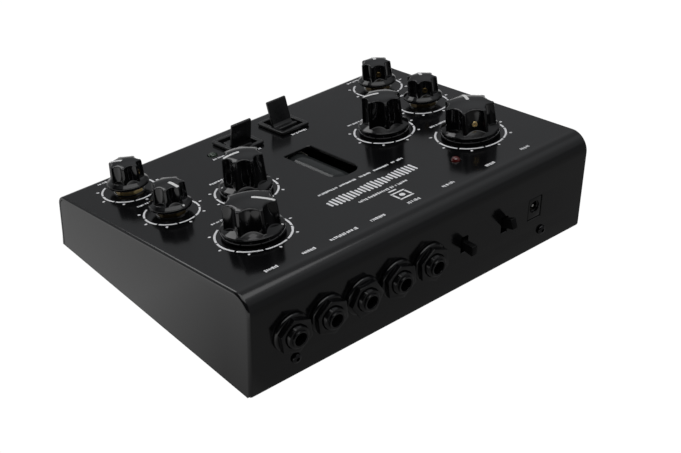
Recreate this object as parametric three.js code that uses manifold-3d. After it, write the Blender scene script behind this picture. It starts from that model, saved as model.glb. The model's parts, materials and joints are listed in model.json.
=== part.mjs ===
// Desktop audio interface box with valve stage: sloping steel case, eight
// fluted knobs, two paddle switches, a valve behind a window in the top, and a
// rear wall with five 1/4 inch jacks, two flat lever switches and a DC inlet.
// Units are millimetres, +Z up. +X is the user's right, -Y faces the user and
// +Y is the connector side. The origin is the centre of the case underside.
import * as THREE from 'three';
import { mergeVertices } from 'three/addons/utils/BufferGeometryUtils.js';
import Module from 'manifold-3d';

const wasm = await Module();
wasm.setup();
const { degToRad, clamp } = THREE.MathUtils;

// ---- materials ----------------------------------------------------------
const standard = (settings) => new THREE.MeshStandardMaterial(settings);
const PAINT = standard({ color: 0x1b1b1d, roughness: 0.45, metalness: 0.1 });
const TRAY_PAINT = standard({ color: 0x1b1b1d, roughness: 0.5, metalness: 0.1 });
const KNOB_GLOSS = standard({ color: 0x0b0b0c, roughness: 0.12, metalness: 0 });
const PLASTIC = standard({ color: 0x141416, roughness: 0.35, metalness: 0 });
const STEEL = standard({ color: 0xb4b4b0, roughness: 0.3, metalness: 1 });
const BRASS = standard({ color: 0xb08d4a, roughness: 0.3, metalness: 1 });
const GLASS = standard({ color: 0xcfd6d6, roughness: 0.05, metalness: 0 });
const CERAMIC = standard({ color: 0xd8d4c8, roughness: 0.4, metalness: 0 });
const BOARD_GREEN = standard({ color: 0x1f4a30, roughness: 0.4, metalness: 0 });
const RUBBER = standard({ color: 0x101010, roughness: 0.85, metalness: 0 });
const RED_LENS = standard({ color: 0x8c1512, roughness: 0.15, metalness: 0 });
const CLEAR_LENS = standard({ color: 0xdfe6de, roughness: 0.1, metalness: 0 });
const DARK_STEEL = standard({ color: 0x121214, roughness: 0.3, metalness: 0.8 });

// ---- case dimensions ----------------------------------------------------
const WIDTH = 230;              // overall, along X
const DEPTH = 165;              // overall, along Y
const FRONT_H = 31.4;           // height where the sloping top meets the front
const REAR_H = 59.6;            // height where the sloping top meets the rear
const SHEET = 1.5;              // steel sheet thickness
const LIP = 10.5;               // depth of the lip under the rear wall
const GAP = 0.3;                // clearance between touching pieces
const TRAY_LIFT = 0.4;          // tray floor above the pressed centre field
const SIDE_X = WIDTH / 2;
const FRONT_Y = -DEPTH / 2;
const REAR_Y = DEPTH / 2;
const SLOPE = Math.atan((REAR_H - FRONT_H) / DEPTH);
const topZ = (y) => FRONT_H + (y - FRONT_Y) * Math.tan(SLOPE);
// panel Y of a point on the top face, from its level distance y
const alongSlope = (y) => y / Math.cos(SLOPE);

// ---- layout of the sloping top ------------------------------------------
const PATTERN_X = -0.7;         // centre line of the knob pattern
// offset: either side of the centre line; y: level distance
// pointer: degrees clockwise from straight back, seen from above
const KNOB_PAIRS = [
  { place: 'front', offset: 87.3, y: -57.2, size: 'small', pointer: { right: 142, left: -150 } },
  { place: 'middle', offset: 87.3, y: -18.2, size: 'small', pointer: { right: -9, left: -150 } },
  { place: 'inner', offset: 47.7, y: -7.6, size: 'medium', pointer: { right: 110, left: 132 } },
  { place: 'rear', offset: 74.2, y: 32.7, size: 'large', pointer: { right: -40, left: -150 } },
];
const KNOBS = [['right', 1], ['left', -1]].flatMap(([side, sign]) =>
  KNOB_PAIRS.map(({ place, offset, y, size, pointer }) => ({
    id: `${side}_${place}`,
    x: PATTERN_X + sign * offset,
    y: alongSlope(y),
    size,
    pointer: pointer[side],
  })));
const LEDS = [
  { id: 'red', x: -46.7, y: alongSlope(49.9), lens: RED_LENS },
  { id: 'clear', x: 32, y: alongSlope(-58), lens: CLEAR_LENS },
];
// paddle tilt in degrees; positive leans towards the user
const SWITCHES = [{ id: 'right', x: 14.5, tilt: -12.7 }, { id: 'left', x: -17.5, tilt: 12.7 }];
const SWITCH_Y = -59;           // bezel centre, measured along the slope
// window for the valve; y is measured along the slope
const WINDOW = { x: [-9.9, 8.6], y: [-26.3, 18.7], frontRadius: 2, rearRadius: 5 };

// ---- layout of the rear wall --------------------------------------------
// turn of each jack nut in radians, jacks counted from the user's right
const JACK_NUT_TURNS = [0.384, 0.384, -0.05, 0.384, 0.384];
const JACK_PITCH = 22.2;
const JACKS = JACK_NUT_TURNS.map((nutTurn, i) => ({ x: 90.5 - i * JACK_PITCH, nutTurn }));
const JACK_Z = 29.3;
// lever tilt in degrees; positive lifts the tip
const LEVERS = [
  { id: 'right', x: -23.6, z: 28.0, tilt: 0 },
  { id: 'left', x: -53.0, z: 27.4, tilt: 22 },
];
const DC = { x: -76, z: 28.1, width: 9.4, height: 12.8, recess: 0.3 };
const REAR_SCREWS = [{ id: 'right', x: 87.4 }, { id: 'left', x: -82.5 }];
const SCREW_Z = 11.6;

// ---- main board placement -----------------------------------------------
const BOARD = { halfWidth: 96, y: [-68, 52], bottom: 6.3, thickness: 1.6 };
const BOARD_TOP = BOARD.bottom + BOARD.thickness;

// ---- solids -------------------------------------------------------------
// A closed three.js geometry becomes a solid that can be joined and cut.
function solid(geometry) {
  const bare = geometry.clone();
  bare.deleteAttribute('normal');
  bare.deleteAttribute('uv');
  const merged = mergeVertices(bare, 1e-4);
  const index = merged.index.array;
  const triangles = [];
  for (let i = 0; i < index.length; i += 3) {
    const corners = index.slice(i, i + 3);
    // triangles collapsed by the merge are left out
    if (new Set(corners).size === 3) triangles.push(...corners);
  }
  return new wasm.Manifold(new wasm.Mesh({
    numProp: 3,
    vertProperties: new Float32Array(merged.attributes.position.array),
    triVerts: new Uint32Array(triangles),
  }));
}
function geometryOf(shape) {
  const { vertProperties, triVerts } = shape.getMesh();
  const geometry = new THREE.BufferGeometry();
  const positions = new THREE.BufferAttribute(new Float32Array(vertProperties), 3);
  geometry.setAttribute('position', positions);
  geometry.setIndex(new THREE.BufferAttribute(new Uint32Array(triVerts), 1));
  geometry.computeVertexNormals();
  return geometry;
}
const join = (...shapes) => shapes.reduce((sum, shape) => sum.add(shape));
const cut = (body, ...tools) => tools.reduce((rest, tool) => rest.subtract(tool), body);

// A range is a [low, high] pair; around() gives one from its half size.
const around = (half, centre = 0) => [centre - half, centre + half];

const box = ([left, right], [front, rear], [bottom, top]) => solid(
  new THREE.BoxGeometry(right - left, rear - front, top - bottom)
    .translate((left + right) / 2, (front + rear) / 2, (bottom + top) / 2));
// cylinders along Z, Y and X
const rod = (radius, [bottom, top], sides, x = 0, y = 0) => solid(
  new THREE.CylinderGeometry(radius, radius, top - bottom, sides)
    .rotateX(Math.PI / 2).translate(x, y, (bottom + top) / 2));
const rodY = (radius, [front, rear], sides, x = 0, z = 0, rearRadius = radius) => solid(
  new THREE.CylinderGeometry(rearRadius, radius, rear - front, sides)
    .translate(x, (front + rear) / 2, z));
const rodX = (radius, [left, right], sides, y = 0, z = 0) => solid(
  new THREE.CylinderGeometry(radius, radius, right - left, sides)
    .rotateZ(Math.PI / 2).translate((left + right) / 2, y, z));
// [radius, z] profile turned about Z
const turned = (profile, sides) => new THREE.LatheGeometry(
  profile.map(([radius, z]) => new THREE.Vector2(radius, z)), sides).rotateX(Math.PI / 2);

// closed outline from [x, y, corner radius]; no radius leaves a sharp corner
function outline(corners, segments = 4) {
  const count = corners.length;
  return corners.flatMap(([x, y, radius = 0], i) => {
    const corner = new THREE.Vector2(x, y);
    if (!radius) return [corner];
    const towards = ([otherX, otherY]) =>
      new THREE.Vector2(otherX, otherY).sub(corner).normalize();
    const previous = towards(corners[(i + count - 1) % count]);
    const next = towards(corners[(i + 1) % count]);
    const halfAngle = Math.acos(clamp(previous.dot(next), -1, 1)) / 2;
    const reach = radius / Math.tan(halfAngle);
    const centre = previous.clone().add(next).normalize()
      .multiplyScalar(radius / Math.sin(halfAngle)).add(corner);
    const start = corner.clone().addScaledVector(previous, reach).sub(centre);
    const end = corner.clone().addScaledVector(next, reach).sub(centre);
    const startAngle = Math.atan2(start.y, start.x);
    let sweep = Math.atan2(end.y, end.x) - startAngle;
    while (sweep > Math.PI) sweep -= 2 * Math.PI;
    while (sweep < -Math.PI) sweep += 2 * Math.PI;
    return Array.from({ length: segments + 1 }, (_, step) => {
      const angle = startAngle + (sweep * step) / segments;
      return new THREE.Vector2(
        centre.x + radius * Math.cos(angle), centre.y + radius * Math.sin(angle));
    });
  });
}
const rectangle = ([left, right], [front, rear], radius = 0, segments = 3) => outline([
  [left, front, radius], [right, front, radius], [right, rear, radius], [left, rear, radius],
], segments);
// size is across flats, turn in radians
const hexagon = (size, turn = 0) => Array.from({ length: 6 }, (_, i) => {
  const angle = turn + (i * Math.PI) / 3;
  const radius = size / Math.sqrt(3);
  return new THREE.Vector2(radius * Math.cos(angle), radius * Math.sin(angle));
});

const extrude = (points, depth, options = {}) => new THREE.ExtrudeGeometry(
  new THREE.Shape(points), { depth, bevelEnabled: false, ...options });
// bevel that stays inside the outline and adds its size at both ends
const bevelled = (size, segments) => ({
  bevelEnabled: true,
  bevelThickness: size,
  bevelSize: size,
  bevelOffset: -size,
  bevelSegments: segments,
});
// an (x, y) outline carried along Z
const prism = (points, [bottom, top]) => solid(
  extrude(points, top - bottom).translate(0, 0, bottom));
// a (y, z) outline carried along X
const ALONG_X = new THREE.Matrix4().makeBasis(
  new THREE.Vector3(0, 1, 0), new THREE.Vector3(0, 0, 1), new THREE.Vector3(1, 0, 0));
const beam = (points, [left, right], bevel = 0, segments = 3) => solid(
  extrude(points, right - left - 2 * bevel, bevel ? bevelled(bevel, segments) : {})
    .translate(0, 0, left + bevel).applyMatrix4(ALONG_X));
// an (x, z) outline carried along Y
const ALONG_Y = new THREE.Matrix4().makeBasis(
  new THREE.Vector3(1, 0, 0), new THREE.Vector3(0, 0, 1), new THREE.Vector3(0, -1, 0));
const plateY = (points, [front, rear]) => solid(
  extrude(points, rear - front).applyMatrix4(ALONG_Y).translate(0, rear, 0));

// ---- scene graph --------------------------------------------------------
const root = new THREE.Group();
function frame(parent, x, y, z) {
  const group = new THREE.Group();
  group.position.set(x, y, z);
  parent.add(group);
  return group;
}
function piece(name, geometry, material, parent = root) {
  const mesh = new THREE.Mesh(geometry, material);
  mesh.name = name;
  parent.add(mesh);
  return mesh;
}
const solidPiece = (name, shape, material, parent) =>
  piece(name, geometryOf(shape), material, parent);

// panel frame: X to the right, Y up the slope, Z out of the top face; its
// origin is on the top face above the case origin
const panel = frame(root, 0, 0, topZ(0));
panel.rotation.x = SLOPE;
panel.updateMatrix();
// a solid made in panel coordinates, moved to case coordinates
const fromPanel = (shape) => shape.transform(panel.matrix.elements);

// ---- top cover: top, front, rear and side walls of one formed sheet ------
const BEND = { front: 6, rear: 10, lip: 4 };  // outer radii along X
const SIDE_ROUNDING = 3.6;
const PUNCH = [-4, 3];          // reach of a cutter below and above a face
const KNOB_HOLE_R = 5.1;
const LED_HOLE_R = 2.8;
const JACK_HOLE_R = 6.4;
const SCREW_HOLE_R = 1.9;
const SEAM = { halfWidth: 1.05, inset: 0.95, opening: 0.45, z: [-3, 24.6] };

function panelCutouts() {
  return [
    ...KNOBS.map(({ x, y }) => rod(KNOB_HOLE_R, PUNCH, 14, x, y)),
    ...LEDS.map(({ x, y }) => rod(LED_HOLE_R, PUNCH, 12, x, y)),
    ...SWITCHES.map(({ x }) =>
      prism(rectangle(around(8.5, x), around(10.5, SWITCH_Y)), PUNCH)),
    prism(outline([
      [WINDOW.x[0], WINDOW.y[0], WINDOW.frontRadius],
      [WINDOW.x[1], WINDOW.y[0], WINDOW.frontRadius],
      [WINDOW.x[1], WINDOW.y[1], WINDOW.rearRadius],
      [WINDOW.x[0], WINDOW.y[1], WINDOW.rearRadius],
    ]), PUNCH),
  ].map(fromPanel);
}
function rearCutouts() {
  const reach = PUNCH.map((y) => REAR_Y + y);
  return [
    ...JACKS.map(({ x }) => rodY(JACK_HOLE_R, reach, 14, x, JACK_Z)),
    ...LEVERS.map(({ x, z }) => box(around(2.3, x), reach, around(4.9, z))),
    box(around(5, DC.x), reach, around(6.7, DC.z)),
    ...REAR_SCREWS.map(({ x }) => rodY(SCREW_HOLE_R, reach, 10, x, SCREW_Z)),
  ];
}
function addTopCover() {
  const shell = beam(outline([
    [FRONT_Y, 0],
    [FRONT_Y, FRONT_H, BEND.front],
    [REAR_Y, REAR_H, BEND.rear],
    [REAR_Y, 0, BEND.lip],
  ]), around(SIDE_X));
  // rounds the side edges of the top and rear; it runs past the front and
  // the underside, so the edges there stay square
  const pastFront = FRONT_Y - 12;
  const rounded = beam(outline([
    [pastFront, -14],
    [pastFront, topZ(pastFront)],
    [REAR_Y, REAR_H, BEND.rear],
    [REAR_Y, -14],
  ]), around(SIDE_X), SIDE_ROUNDING, 2);
  const innerFront = FRONT_Y + SHEET;
  const innerRear = REAR_Y - SHEET;
  const innerTop = (y) => topZ(y) - SHEET / Math.cos(SLOPE);
  const hollow = beam(outline([
    [innerFront, -8],
    [innerFront, innerTop(innerFront), BEND.front - SHEET],
    [innerRear, innerTop(innerRear), BEND.rear - SHEET],
    [innerRear, SHEET, BEND.lip - SHEET],
    [REAR_Y - LIP, SHEET],
    [REAR_Y - LIP, -8],
  ]), around(SIDE_X - SHEET));
  // open corner seams between the front wall and the side walls
  const seams = [-1, 1].map((side) => box(
    around(SEAM.halfWidth, side * (SIDE_X - SEAM.inset)),
    [innerFront, innerFront + SEAM.opening], SEAM.z));
  const cover = shell.intersect(rounded);
  solidPiece('top_cover',
    cut(cover, hollow, ...panelCutouts(), ...rearCutouts(), ...seams), PAINT);
}

// ---- base tray ----------------------------------------------------------
const TRAY = {
  clearance: 0.4,               // to the inside of the cover
  wall: 1.2,
  floor: [TRAY_LIFT, 1.2],
  sides: [TRAY_LIFT, 13],
  sideY: [-62, 60],
};

function addBaseTray() {
  const halfWidth = SIDE_X - SHEET - TRAY.clearance;
  const front = FRONT_Y + SHEET + TRAY.clearance;
  const rear = REAR_Y - LIP - 0.5;
  const parts = [
    box(around(halfWidth), [front, rear], TRAY.floor),
    box(around(halfWidth), [front, front + TRAY.wall], TRAY.sides),
    box([-halfWidth, -halfWidth + TRAY.wall], TRAY.sideY, TRAY.sides),
    box([halfWidth - TRAY.wall, halfWidth], TRAY.sideY, TRAY.sides),
    // pressed field between the feet, the lowest face of the sheet metal
    prism(rectangle(around(84), [-68, 66], 6), [0, 0.8]),
  ];
  // blocks behind the rear screws
  for (const { x } of REAR_SCREWS) {
    parts.push(box(around(6, x), [63, rear], [0.6, 6]));
    parts.push(box(around(6, x), [66, REAR_Y - SHEET - TRAY.clearance], [4.6, 15.2]));
  }
  // posts under the main board
  for (const y of [-60, 44]) {
    for (const x of [-88, 0, 88]) parts.push(rod(3.2, [0.6, BOARD.bottom - GAP], 10, x, y));
  }
  const holes = REAR_SCREWS.map(({ x }) => rodY(1.7, [64, REAR_Y + 2], 12, x, SCREW_Z));
  solidPiece('base_tray', cut(join(...parts), ...holes), TRAY_PAINT);
}

// ---- main board with its taller components ------------------------------
// round components: x, y, radius, height
const BOARD_ROUNDS = [
  [-70, -30, 5, 12], [-58, -30, 5, 12], [60, -34, 6.3, 14],
  [30, 30, 4, 11], [-30, 30, 4, 11], [22, -4, 5, 12],
];
// block components: x range, y range, height
const BOARD_BLOCKS = [
  [[-60, -30], [-8, 8], 10],
  [[-16, 14], [26, 40], 8],
  [[34, 50], [-50, -38], 6],
  [[-22, -12], [-64, -52], 4],
  [[70, 88], [0, 12], 7],
];

function addMainBoard() {
  const span = (height) => [BOARD_TOP - 0.4, BOARD_TOP + height];
  solidPiece('main_board', join(
    box(around(BOARD.halfWidth), BOARD.y, [BOARD.bottom, BOARD_TOP]),
    ...BOARD_ROUNDS.map(([x, y, radius, height]) => rod(radius, span(height), 10, x, y)),
    ...BOARD_BLOCKS.map(([xRange, yRange, height]) => box(xRange, yRange, span(height))),
  ), BOARD_GREEN);
}

// ---- valve and socket ---------------------------------------------------
const VALVE_X = (WINDOW.x[0] + WINDOW.x[1]) / 2;
const VALVE_BASE_Y = -31.5;     // measured along the slope
const VALVE_AXIS_Z = -13.2;     // below the panel face
const VALVE_R = 10.5;
// glass envelope: radius, distance from the base
const VALVE_PROFILE = [
  [0, 0], [8.6, 0], [10.0, 1.2], [VALVE_R, 4], [VALVE_R, 39], [9.7, 42.6],
  [7.4, 45.4], [4.2, 46.9], [2.0, 47.6], [1.3, 49.3], [0, 50.2],
];
const SOCKET = { outerRadius: 11.35, boreRadius: 10.85 };

function addValve() {
  // valve frame: Z runs up the slope, along the valve's axis
  const valve = frame(panel, VALVE_X, VALVE_BASE_Y, VALVE_AXIS_Z);
  valve.rotation.x = -Math.PI / 2;
  valve.updateMatrix();
  piece('vacuum_tube', turned(VALVE_PROFILE, 20), GLASS, valve);
  const cup = cut(
    rod(SOCKET.outerRadius, [-8.5, 2.6], 20),
    rod(SOCKET.boreRadius, [-GAP, 4], 20));
  const foot = box(around(9, VALVE_X), [-41.5, -34.5], [BOARD_TOP + GAP, 21]);
  solidPiece('tube_socket',
    join(fromPanel(cup.transform(valve.matrix.elements)), foot), CERAMIC);
}

// ---- rotary controls ----------------------------------------------------
const FLUTES = 7;
// heights above the panel; a recessed knob is hollow over the nut
const KNOB_SIZES = {
  large: {
    skirtRadius: 16.2, skirtBottom: 1.0, rimTop: 4.35, coneRadius: 11.6, coneTop: 6.8,
    barrelRadius: 14.3, barrelTopRadius: 13.6, barrelTop: 17.7, domeTop: 19.7,
    fluteDepth: 2.9, recessed: true,
  },
  medium: {
    skirtRadius: 14.0, skirtBottom: 1.0, rimTop: 4.3, coneRadius: 9.7, coneTop: 6.5,
    barrelRadius: 11.5, barrelTopRadius: 10.7, barrelTop: 20.5, domeTop: 22.5,
    fluteDepth: 2.3, recessed: true,
  },
  small: {
    skirtRadius: 11.1, skirtBottom: 4.0, rimTop: 5.6, coneRadius: 7.2, coneTop: 8.0,
    barrelRadius: 9.1, barrelTopRadius: 8.7, barrelTop: 15.7, domeTop: 17.2,
    fluteDepth: 2.2, recessed: false,
  },
};
const POT_R = 11;
const POT_DEPTH = 8.5;
const POT_TOP = -SHEET - GAP;
const BUSHING_R = 4.6;
const SHAFT_R = 3.0;
const SHAFT_BORE_R = SHAFT_R + 0.35;
const NUT_FLATS = 12.4;         // control nut, across flats
const NUT_Z = [GAP, 2.5];

// fluted outline: ribs centred on multiples of 360/7 degrees from +Y
function fluted(radius, depth) {
  const pitch = (2 * Math.PI) / FLUTES;
  const halfRib = pitch * 0.1;
  const valley = pitch - 2 * halfRib;
  const floor = radius - depth * 0.95;
  const points = [];
  for (let i = 0; i < FLUTES; i++) {
    const middle = Math.PI / 2 + i * pitch;
    const ribEnd = middle + halfRib;
    points.push([middle - halfRib, radius], [ribEnd, radius]);
    points.push([ribEnd + valley * 0.3, floor], [ribEnd + valley * 0.7, floor]);
  }
  return points.map(([angle, reach]) =>
    new THREE.Vector2(reach * Math.cos(angle), reach * Math.sin(angle)));
}
function barrelSolid(knob) {
  const taper = knob.barrelTopRadius / knob.barrelRadius;
  // levels of the barrel: height, outline scale
  const levels = [
    [knob.rimTop - 0.4, 1],
    [knob.barrelTop, taper],
    [knob.barrelTop + 0.6 * (knob.domeTop - knob.barrelTop), 0.9 * taper],
    [knob.domeTop, 0.66 * taper],
  ];
  // extruded one unit per step, so each point's z is its level's index
  const steps = levels.length - 1;
  const geometry = extrude(fluted(knob.barrelRadius, knob.fluteDepth), steps, { steps });
  const points = geometry.attributes.position;
  for (let i = 0; i < points.count; i++) {
    const [z, scale] = levels[Math.round(points.getZ(i))];
    points.setXYZ(i, points.getX(i) * scale, points.getY(i) * scale, z);
  }
  return solid(geometry);
}
function knobSolid(knob) {
  const skirt = solid(turned([
    [0, knob.skirtBottom],
    [knob.skirtRadius, knob.skirtBottom],
    [knob.skirtRadius, knob.rimTop - 0.5],
    [knob.skirtRadius - 0.5, knob.rimTop],
    [knob.coneRadius - 0.4, knob.coneTop],
    [0, knob.coneTop],
  ], 22));
  const below = knob.skirtBottom - 2;
  const hollows = [rod(SHAFT_BORE_R, [below, 12.6], 12)];
  if (knob.recessed) hollows.push(rod(9.2, [below, 4.4], 14));
  return cut(join(skirt, barrelSolid(knob)), ...hollows);
}
// shaft with a flat on its upper end
const shaftSolid = () => cut(
  rod(SHAFT_R, [-9, 12], 12), box(around(4), [SHAFT_R - 0.9, 6], [5.6, 13]));
// under a recessed knob the nut is one solid with the control
function potSolid(recessed) {
  const parts = [
    rod(POT_R, [POT_TOP - POT_DEPTH, POT_TOP], 16),
    rod(BUSHING_R, [-SHEET - 1, recessed ? 3.6 : 3.4], 12),
    box(around(7), [-POT_R - 3.5, -POT_R + 2], [POT_TOP - 7, POT_TOP - 5.6]),
  ];
  if (recessed) parts.push(prism(hexagon(NUT_FLATS), NUT_Z));
  return cut(join(...parts), rod(SHAFT_BORE_R, [POT_TOP - 7.6, 5], 12));
}
const potNutSolid = () => cut(
  prism(hexagon(NUT_FLATS, 0.3), NUT_Z), rod(KNOB_HOLE_R, [-1, 4], 12));

function addRotaryControls() {
  const knobGeometry = Object.fromEntries(Object.entries(KNOB_SIZES)
    .map(([size, knob]) => [size, geometryOf(knobSolid(knob))]));
  for (const { id, x, y, size, pointer } of KNOBS) {
    const { recessed } = KNOB_SIZES[size];
    const control = frame(panel, x, y, 0);
    // everything on the shaft turns together about the panel normal
    const turning = frame(control, 0, 0, 0);
    turning.rotation.z = -degToRad(pointer);
    piece(`knob_${id}`, knobGeometry[size], KNOB_GLOSS, turning);
    solidPiece(`shaft_${id}`, shaftSolid(), STEEL, turning);
    if (!recessed) solidPiece(`pot_nut_${id}`, potNutSolid(), BRASS, control);
    solidPiece(`pot_${id}`, potSolid(recessed), STEEL, control);
  }
}

// ---- paddle switches ----------------------------------------------------
const PIVOT = { y: -58.4 - SWITCH_Y, z: -8 };   // from the bezel centre
const BEZEL = { width: 19, length: 23, top: 2, bevel: 0.8 };
const MOUTH = { width: 14.4, length: 18.4 };
const PADDLE_HALF = 13 / 2;
const PADDLE_TIP = 23.7;
// paddle side view: y, z from the pivot
const PADDLE_OUTLINE = [
  [-1.8, 0], [1.8, 0], [2.4, 5.4], [6.4, 5.6], [6.4, 8.3], [5.9, 8.8], [1.6, 8.8],
  [1.05, 9.6], [0.95, PADDLE_TIP - 0.5], [0.5, PADDLE_TIP],
  [-0.5, PADDLE_TIP], [-0.95, PADDLE_TIP - 0.5], [-1.05, 9.6],
  [-1.6, 8.8], [-6.9, 8.8], [-7.4, 8.3], [-7.4, 5.6], [-2.4, 5.4],
];

function switchBodySolid() {
  const plate = solid(extrude(
    rectangle(around(BEZEL.width / 2), around(BEZEL.length / 2), 1.2, 2),
    BEZEL.top - GAP - BEZEL.bevel, bevelled(BEZEL.bevel, 1)).translate(0, 0, GAP));
  // keeps the bevel on the upper edge only
  const bezel = plate.intersect(box(around(20), around(20), [GAP, BEZEL.top]));
  const can = prism(rectangle(around(8.2), around(10.2)), [-16.5, 1]);
  const mouth = prism(
    rectangle(around(MOUTH.width / 2), around(MOUTH.length / 2)), [-15, 5]);
  const pin = rodX(1, around(7.6), 12, PIVOT.y, PIVOT.z);
  const terminals = [-6, 0, 6].map((y) => box(around(2), around(0.4, y), [-19.5, -16]));
  return join(cut(join(bezel, can), mouth), pin, ...terminals);
}
function paddleSolid() {
  const hub = rodX(2.7, around(PADDLE_HALF), 12);
  const rocker = beam(outline(PADDLE_OUTLINE), around(PADDLE_HALF));
  return cut(join(hub, rocker), rodX(1.4, around(PADDLE_HALF + 1), 10));
}
function addPaddleSwitches() {
  for (const { id, x, tilt } of SWITCHES) {
    const centre = frame(panel, x, SWITCH_Y, 0);
    solidPiece(`switch_body_${id}`, switchBodySolid(), PLASTIC, centre);
    const pivot = frame(centre, 0, PIVOT.y, PIVOT.z);
    pivot.rotation.x = degToRad(tilt);
    solidPiece(`paddle_${id}`, paddleSolid(), PLASTIC, pivot);
  }
}

// ---- indicator lamps ----------------------------------------------------
// radius, height above the panel
const LED_PROFILE = [
  [0, -9], [2.45, -9], [2.45, -3.2], [2.9, -3.2], [2.9, -1.9],
  [2.45, -1.9], [2.45, 0.2], [2.1, 1.2], [1.2, 1.9], [0, 2.1],
];

function addLamps() {
  for (const { id, x, y, lens } of LEDS) {
    solidPiece(`led_${id}`, solid(turned(LED_PROFILE, 12)), lens, frame(panel, x, y, 0));
  }
}

// ---- jacks on the rear wall ---------------------------------------------
const JACK_FACE = 8;            // bushing face proud of the rear wall
const JACK_NUT_FLATS = 17.7;

function jackSolid() {
  const body = join(
    box(around(8.4), [-26, -SHEET - GAP], around(9.5)),
    rodY(5.9, [-SHEET - 1, JACK_FACE - 1.2], 14),
    rodY(4.7, [4, JACK_FACE], 14),
    // tabs under the body
    box([-6, -4.8], [-23, -14], [-13.5, -9]),
    box([4.8, 6], [-23, -14], [-13.5, -9]),
    box(around(0.6), [-12, -6], [-13.5, -9]));
  return cut(body, rodY(3.4, [-22, JACK_FACE + 1], 12));
}
function jackNutSolid(turn) {
  const washer = rodY(10.7, [GAP, 2.2], 18, 0, 0, 10.2);
  const nut = plateY(hexagon(JACK_NUT_FLATS, turn), [2, 5]);
  return cut(join(washer, nut), rodY(6.3, [-1, 8], 14));
}
function addJacks() {
  JACKS.forEach(({ x, nutTurn }, i) => {
    const jack = frame(root, x, REAR_Y, JACK_Z);
    solidPiece(`jack_${i + 1}`, jackSolid(), PLASTIC, jack);
    solidPiece(`jack_nut_${i + 1}`, jackNutSolid(nutTurn), PLASTIC, jack);
  });
}

// ---- flat lever switches on the rear wall -------------------------------
const LEVER = { pivotY: 78.6, halfWidth: 3.5 / 2, halfHeight: 5.2 / 2, reach: 11.6 };

function leverBodySolid() {
  const wall = REAR_Y - SHEET - GAP - LEVER.pivotY;
  return join(
    cut(
      box(around(4.6), [-9, wall], around(8.5)),
      box(around(2.2), [-4.2, wall + 1], around(6.6))),
    rodX(0.8, around(2.6), 10),
    ...[-5, 0, 5].map((z) => box(around(0.9), [-13, -8.8], around(0.3, z))));
}
function leverSolid() {
  const { halfWidth, halfHeight, reach } = LEVER;
  const bar = beam(outline([
    [0, -halfHeight], [reach, -halfHeight, 0.7], [reach, halfHeight, 0.7], [0, halfHeight],
  ], 2), around(halfWidth), 0.35, 1);
  const hub = rodX(halfHeight, around(halfWidth), 12);
  return cut(join(bar, hub), rodX(1.1, around(halfWidth + 1), 10));
}
function addLeverSwitches() {
  for (const { id, x, z, tilt } of LEVERS) {
    const body = frame(root, x, LEVER.pivotY, z);
    solidPiece(`lever_body_${id}`, leverBodySolid(), PLASTIC, body);
    const pivot = frame(body, 0, 0, 0);
    pivot.rotation.x = degToRad(tilt);
    solidPiece(`lever_${id}`, leverSolid(), PLASTIC, pivot);
  }
}

// ---- DC inlet -----------------------------------------------------------
const DC_HOLE = { radius: 3.2, z: 28.9 };

function addDcInlet() {
  const face = REAR_Y - DC.recess;
  const body = box(
    around(DC.width / 2, DC.x), [face - 14, face], around(DC.height / 2, DC.z));
  const hole = rodY(DC_HOLE.radius, [face - 9.5, face + 1], 20, DC.x, DC_HOLE.z);
  const pin = rodY(1, [face - 10, face - 1.2], 12, DC.x, DC_HOLE.z);
  solidPiece('dc_jack', join(cut(body, hole), pin), PLASTIC);
}

// ---- rear screws --------------------------------------------------------
// radius, distance out from under the head
const SCREW_PROFILE = [
  [0, -10], [1.45, -10], [1.45, 0], [2.75, 0], [2.75, 0.5], [2.3, 1.1], [1.5, 1.5], [0, 1.6],
];

function addRearScrews() {
  for (const { id, x } of REAR_SCREWS) {
    const screw = frame(root, x, REAR_Y + GAP, SCREW_Z);
    screw.rotation.x = -Math.PI / 2;   // screw axis along +Y
    const body = solid(turned(SCREW_PROFILE, 12));
    const socket = prism(hexagon(2), [0.6, 3]);
    solidPiece(`rear_screw_${id}`, cut(body, socket), DARK_STEEL, screw);
  }
}

// ---- feet ---------------------------------------------------------------
const FOOT = { x: 97, y: 61, radius: 7.5, height: 3 };
// radius, z
const FOOT_PROFILE = [
  [0, -FOOT.height], [FOOT.radius - 1.2, -FOOT.height], [FOOT.radius, -1],
  [FOOT.radius, TRAY_LIFT], [0, TRAY_LIFT],
];

function addFeet() {
  for (const [end, y] of [['front', -FOOT.y], ['rear', FOOT.y]]) {
    for (const [side, x] of [['right', FOOT.x], ['left', -FOOT.x]]) {
      const foot = solidPiece(`foot_${end}_${side}`, solid(turned(FOOT_PROFILE, 16)), RUBBER);
      foot.position.set(x, y, 0);
    }
  }
}

addTopCover();
addBaseTray();
addMainBoard();
addValve();
addRotaryControls();
addPaddleSwitches();
addLamps();
addJacks();
addLeverSwitches();
addDcInlet();
addRearScrews();
addFeet();

export default root;
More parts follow.
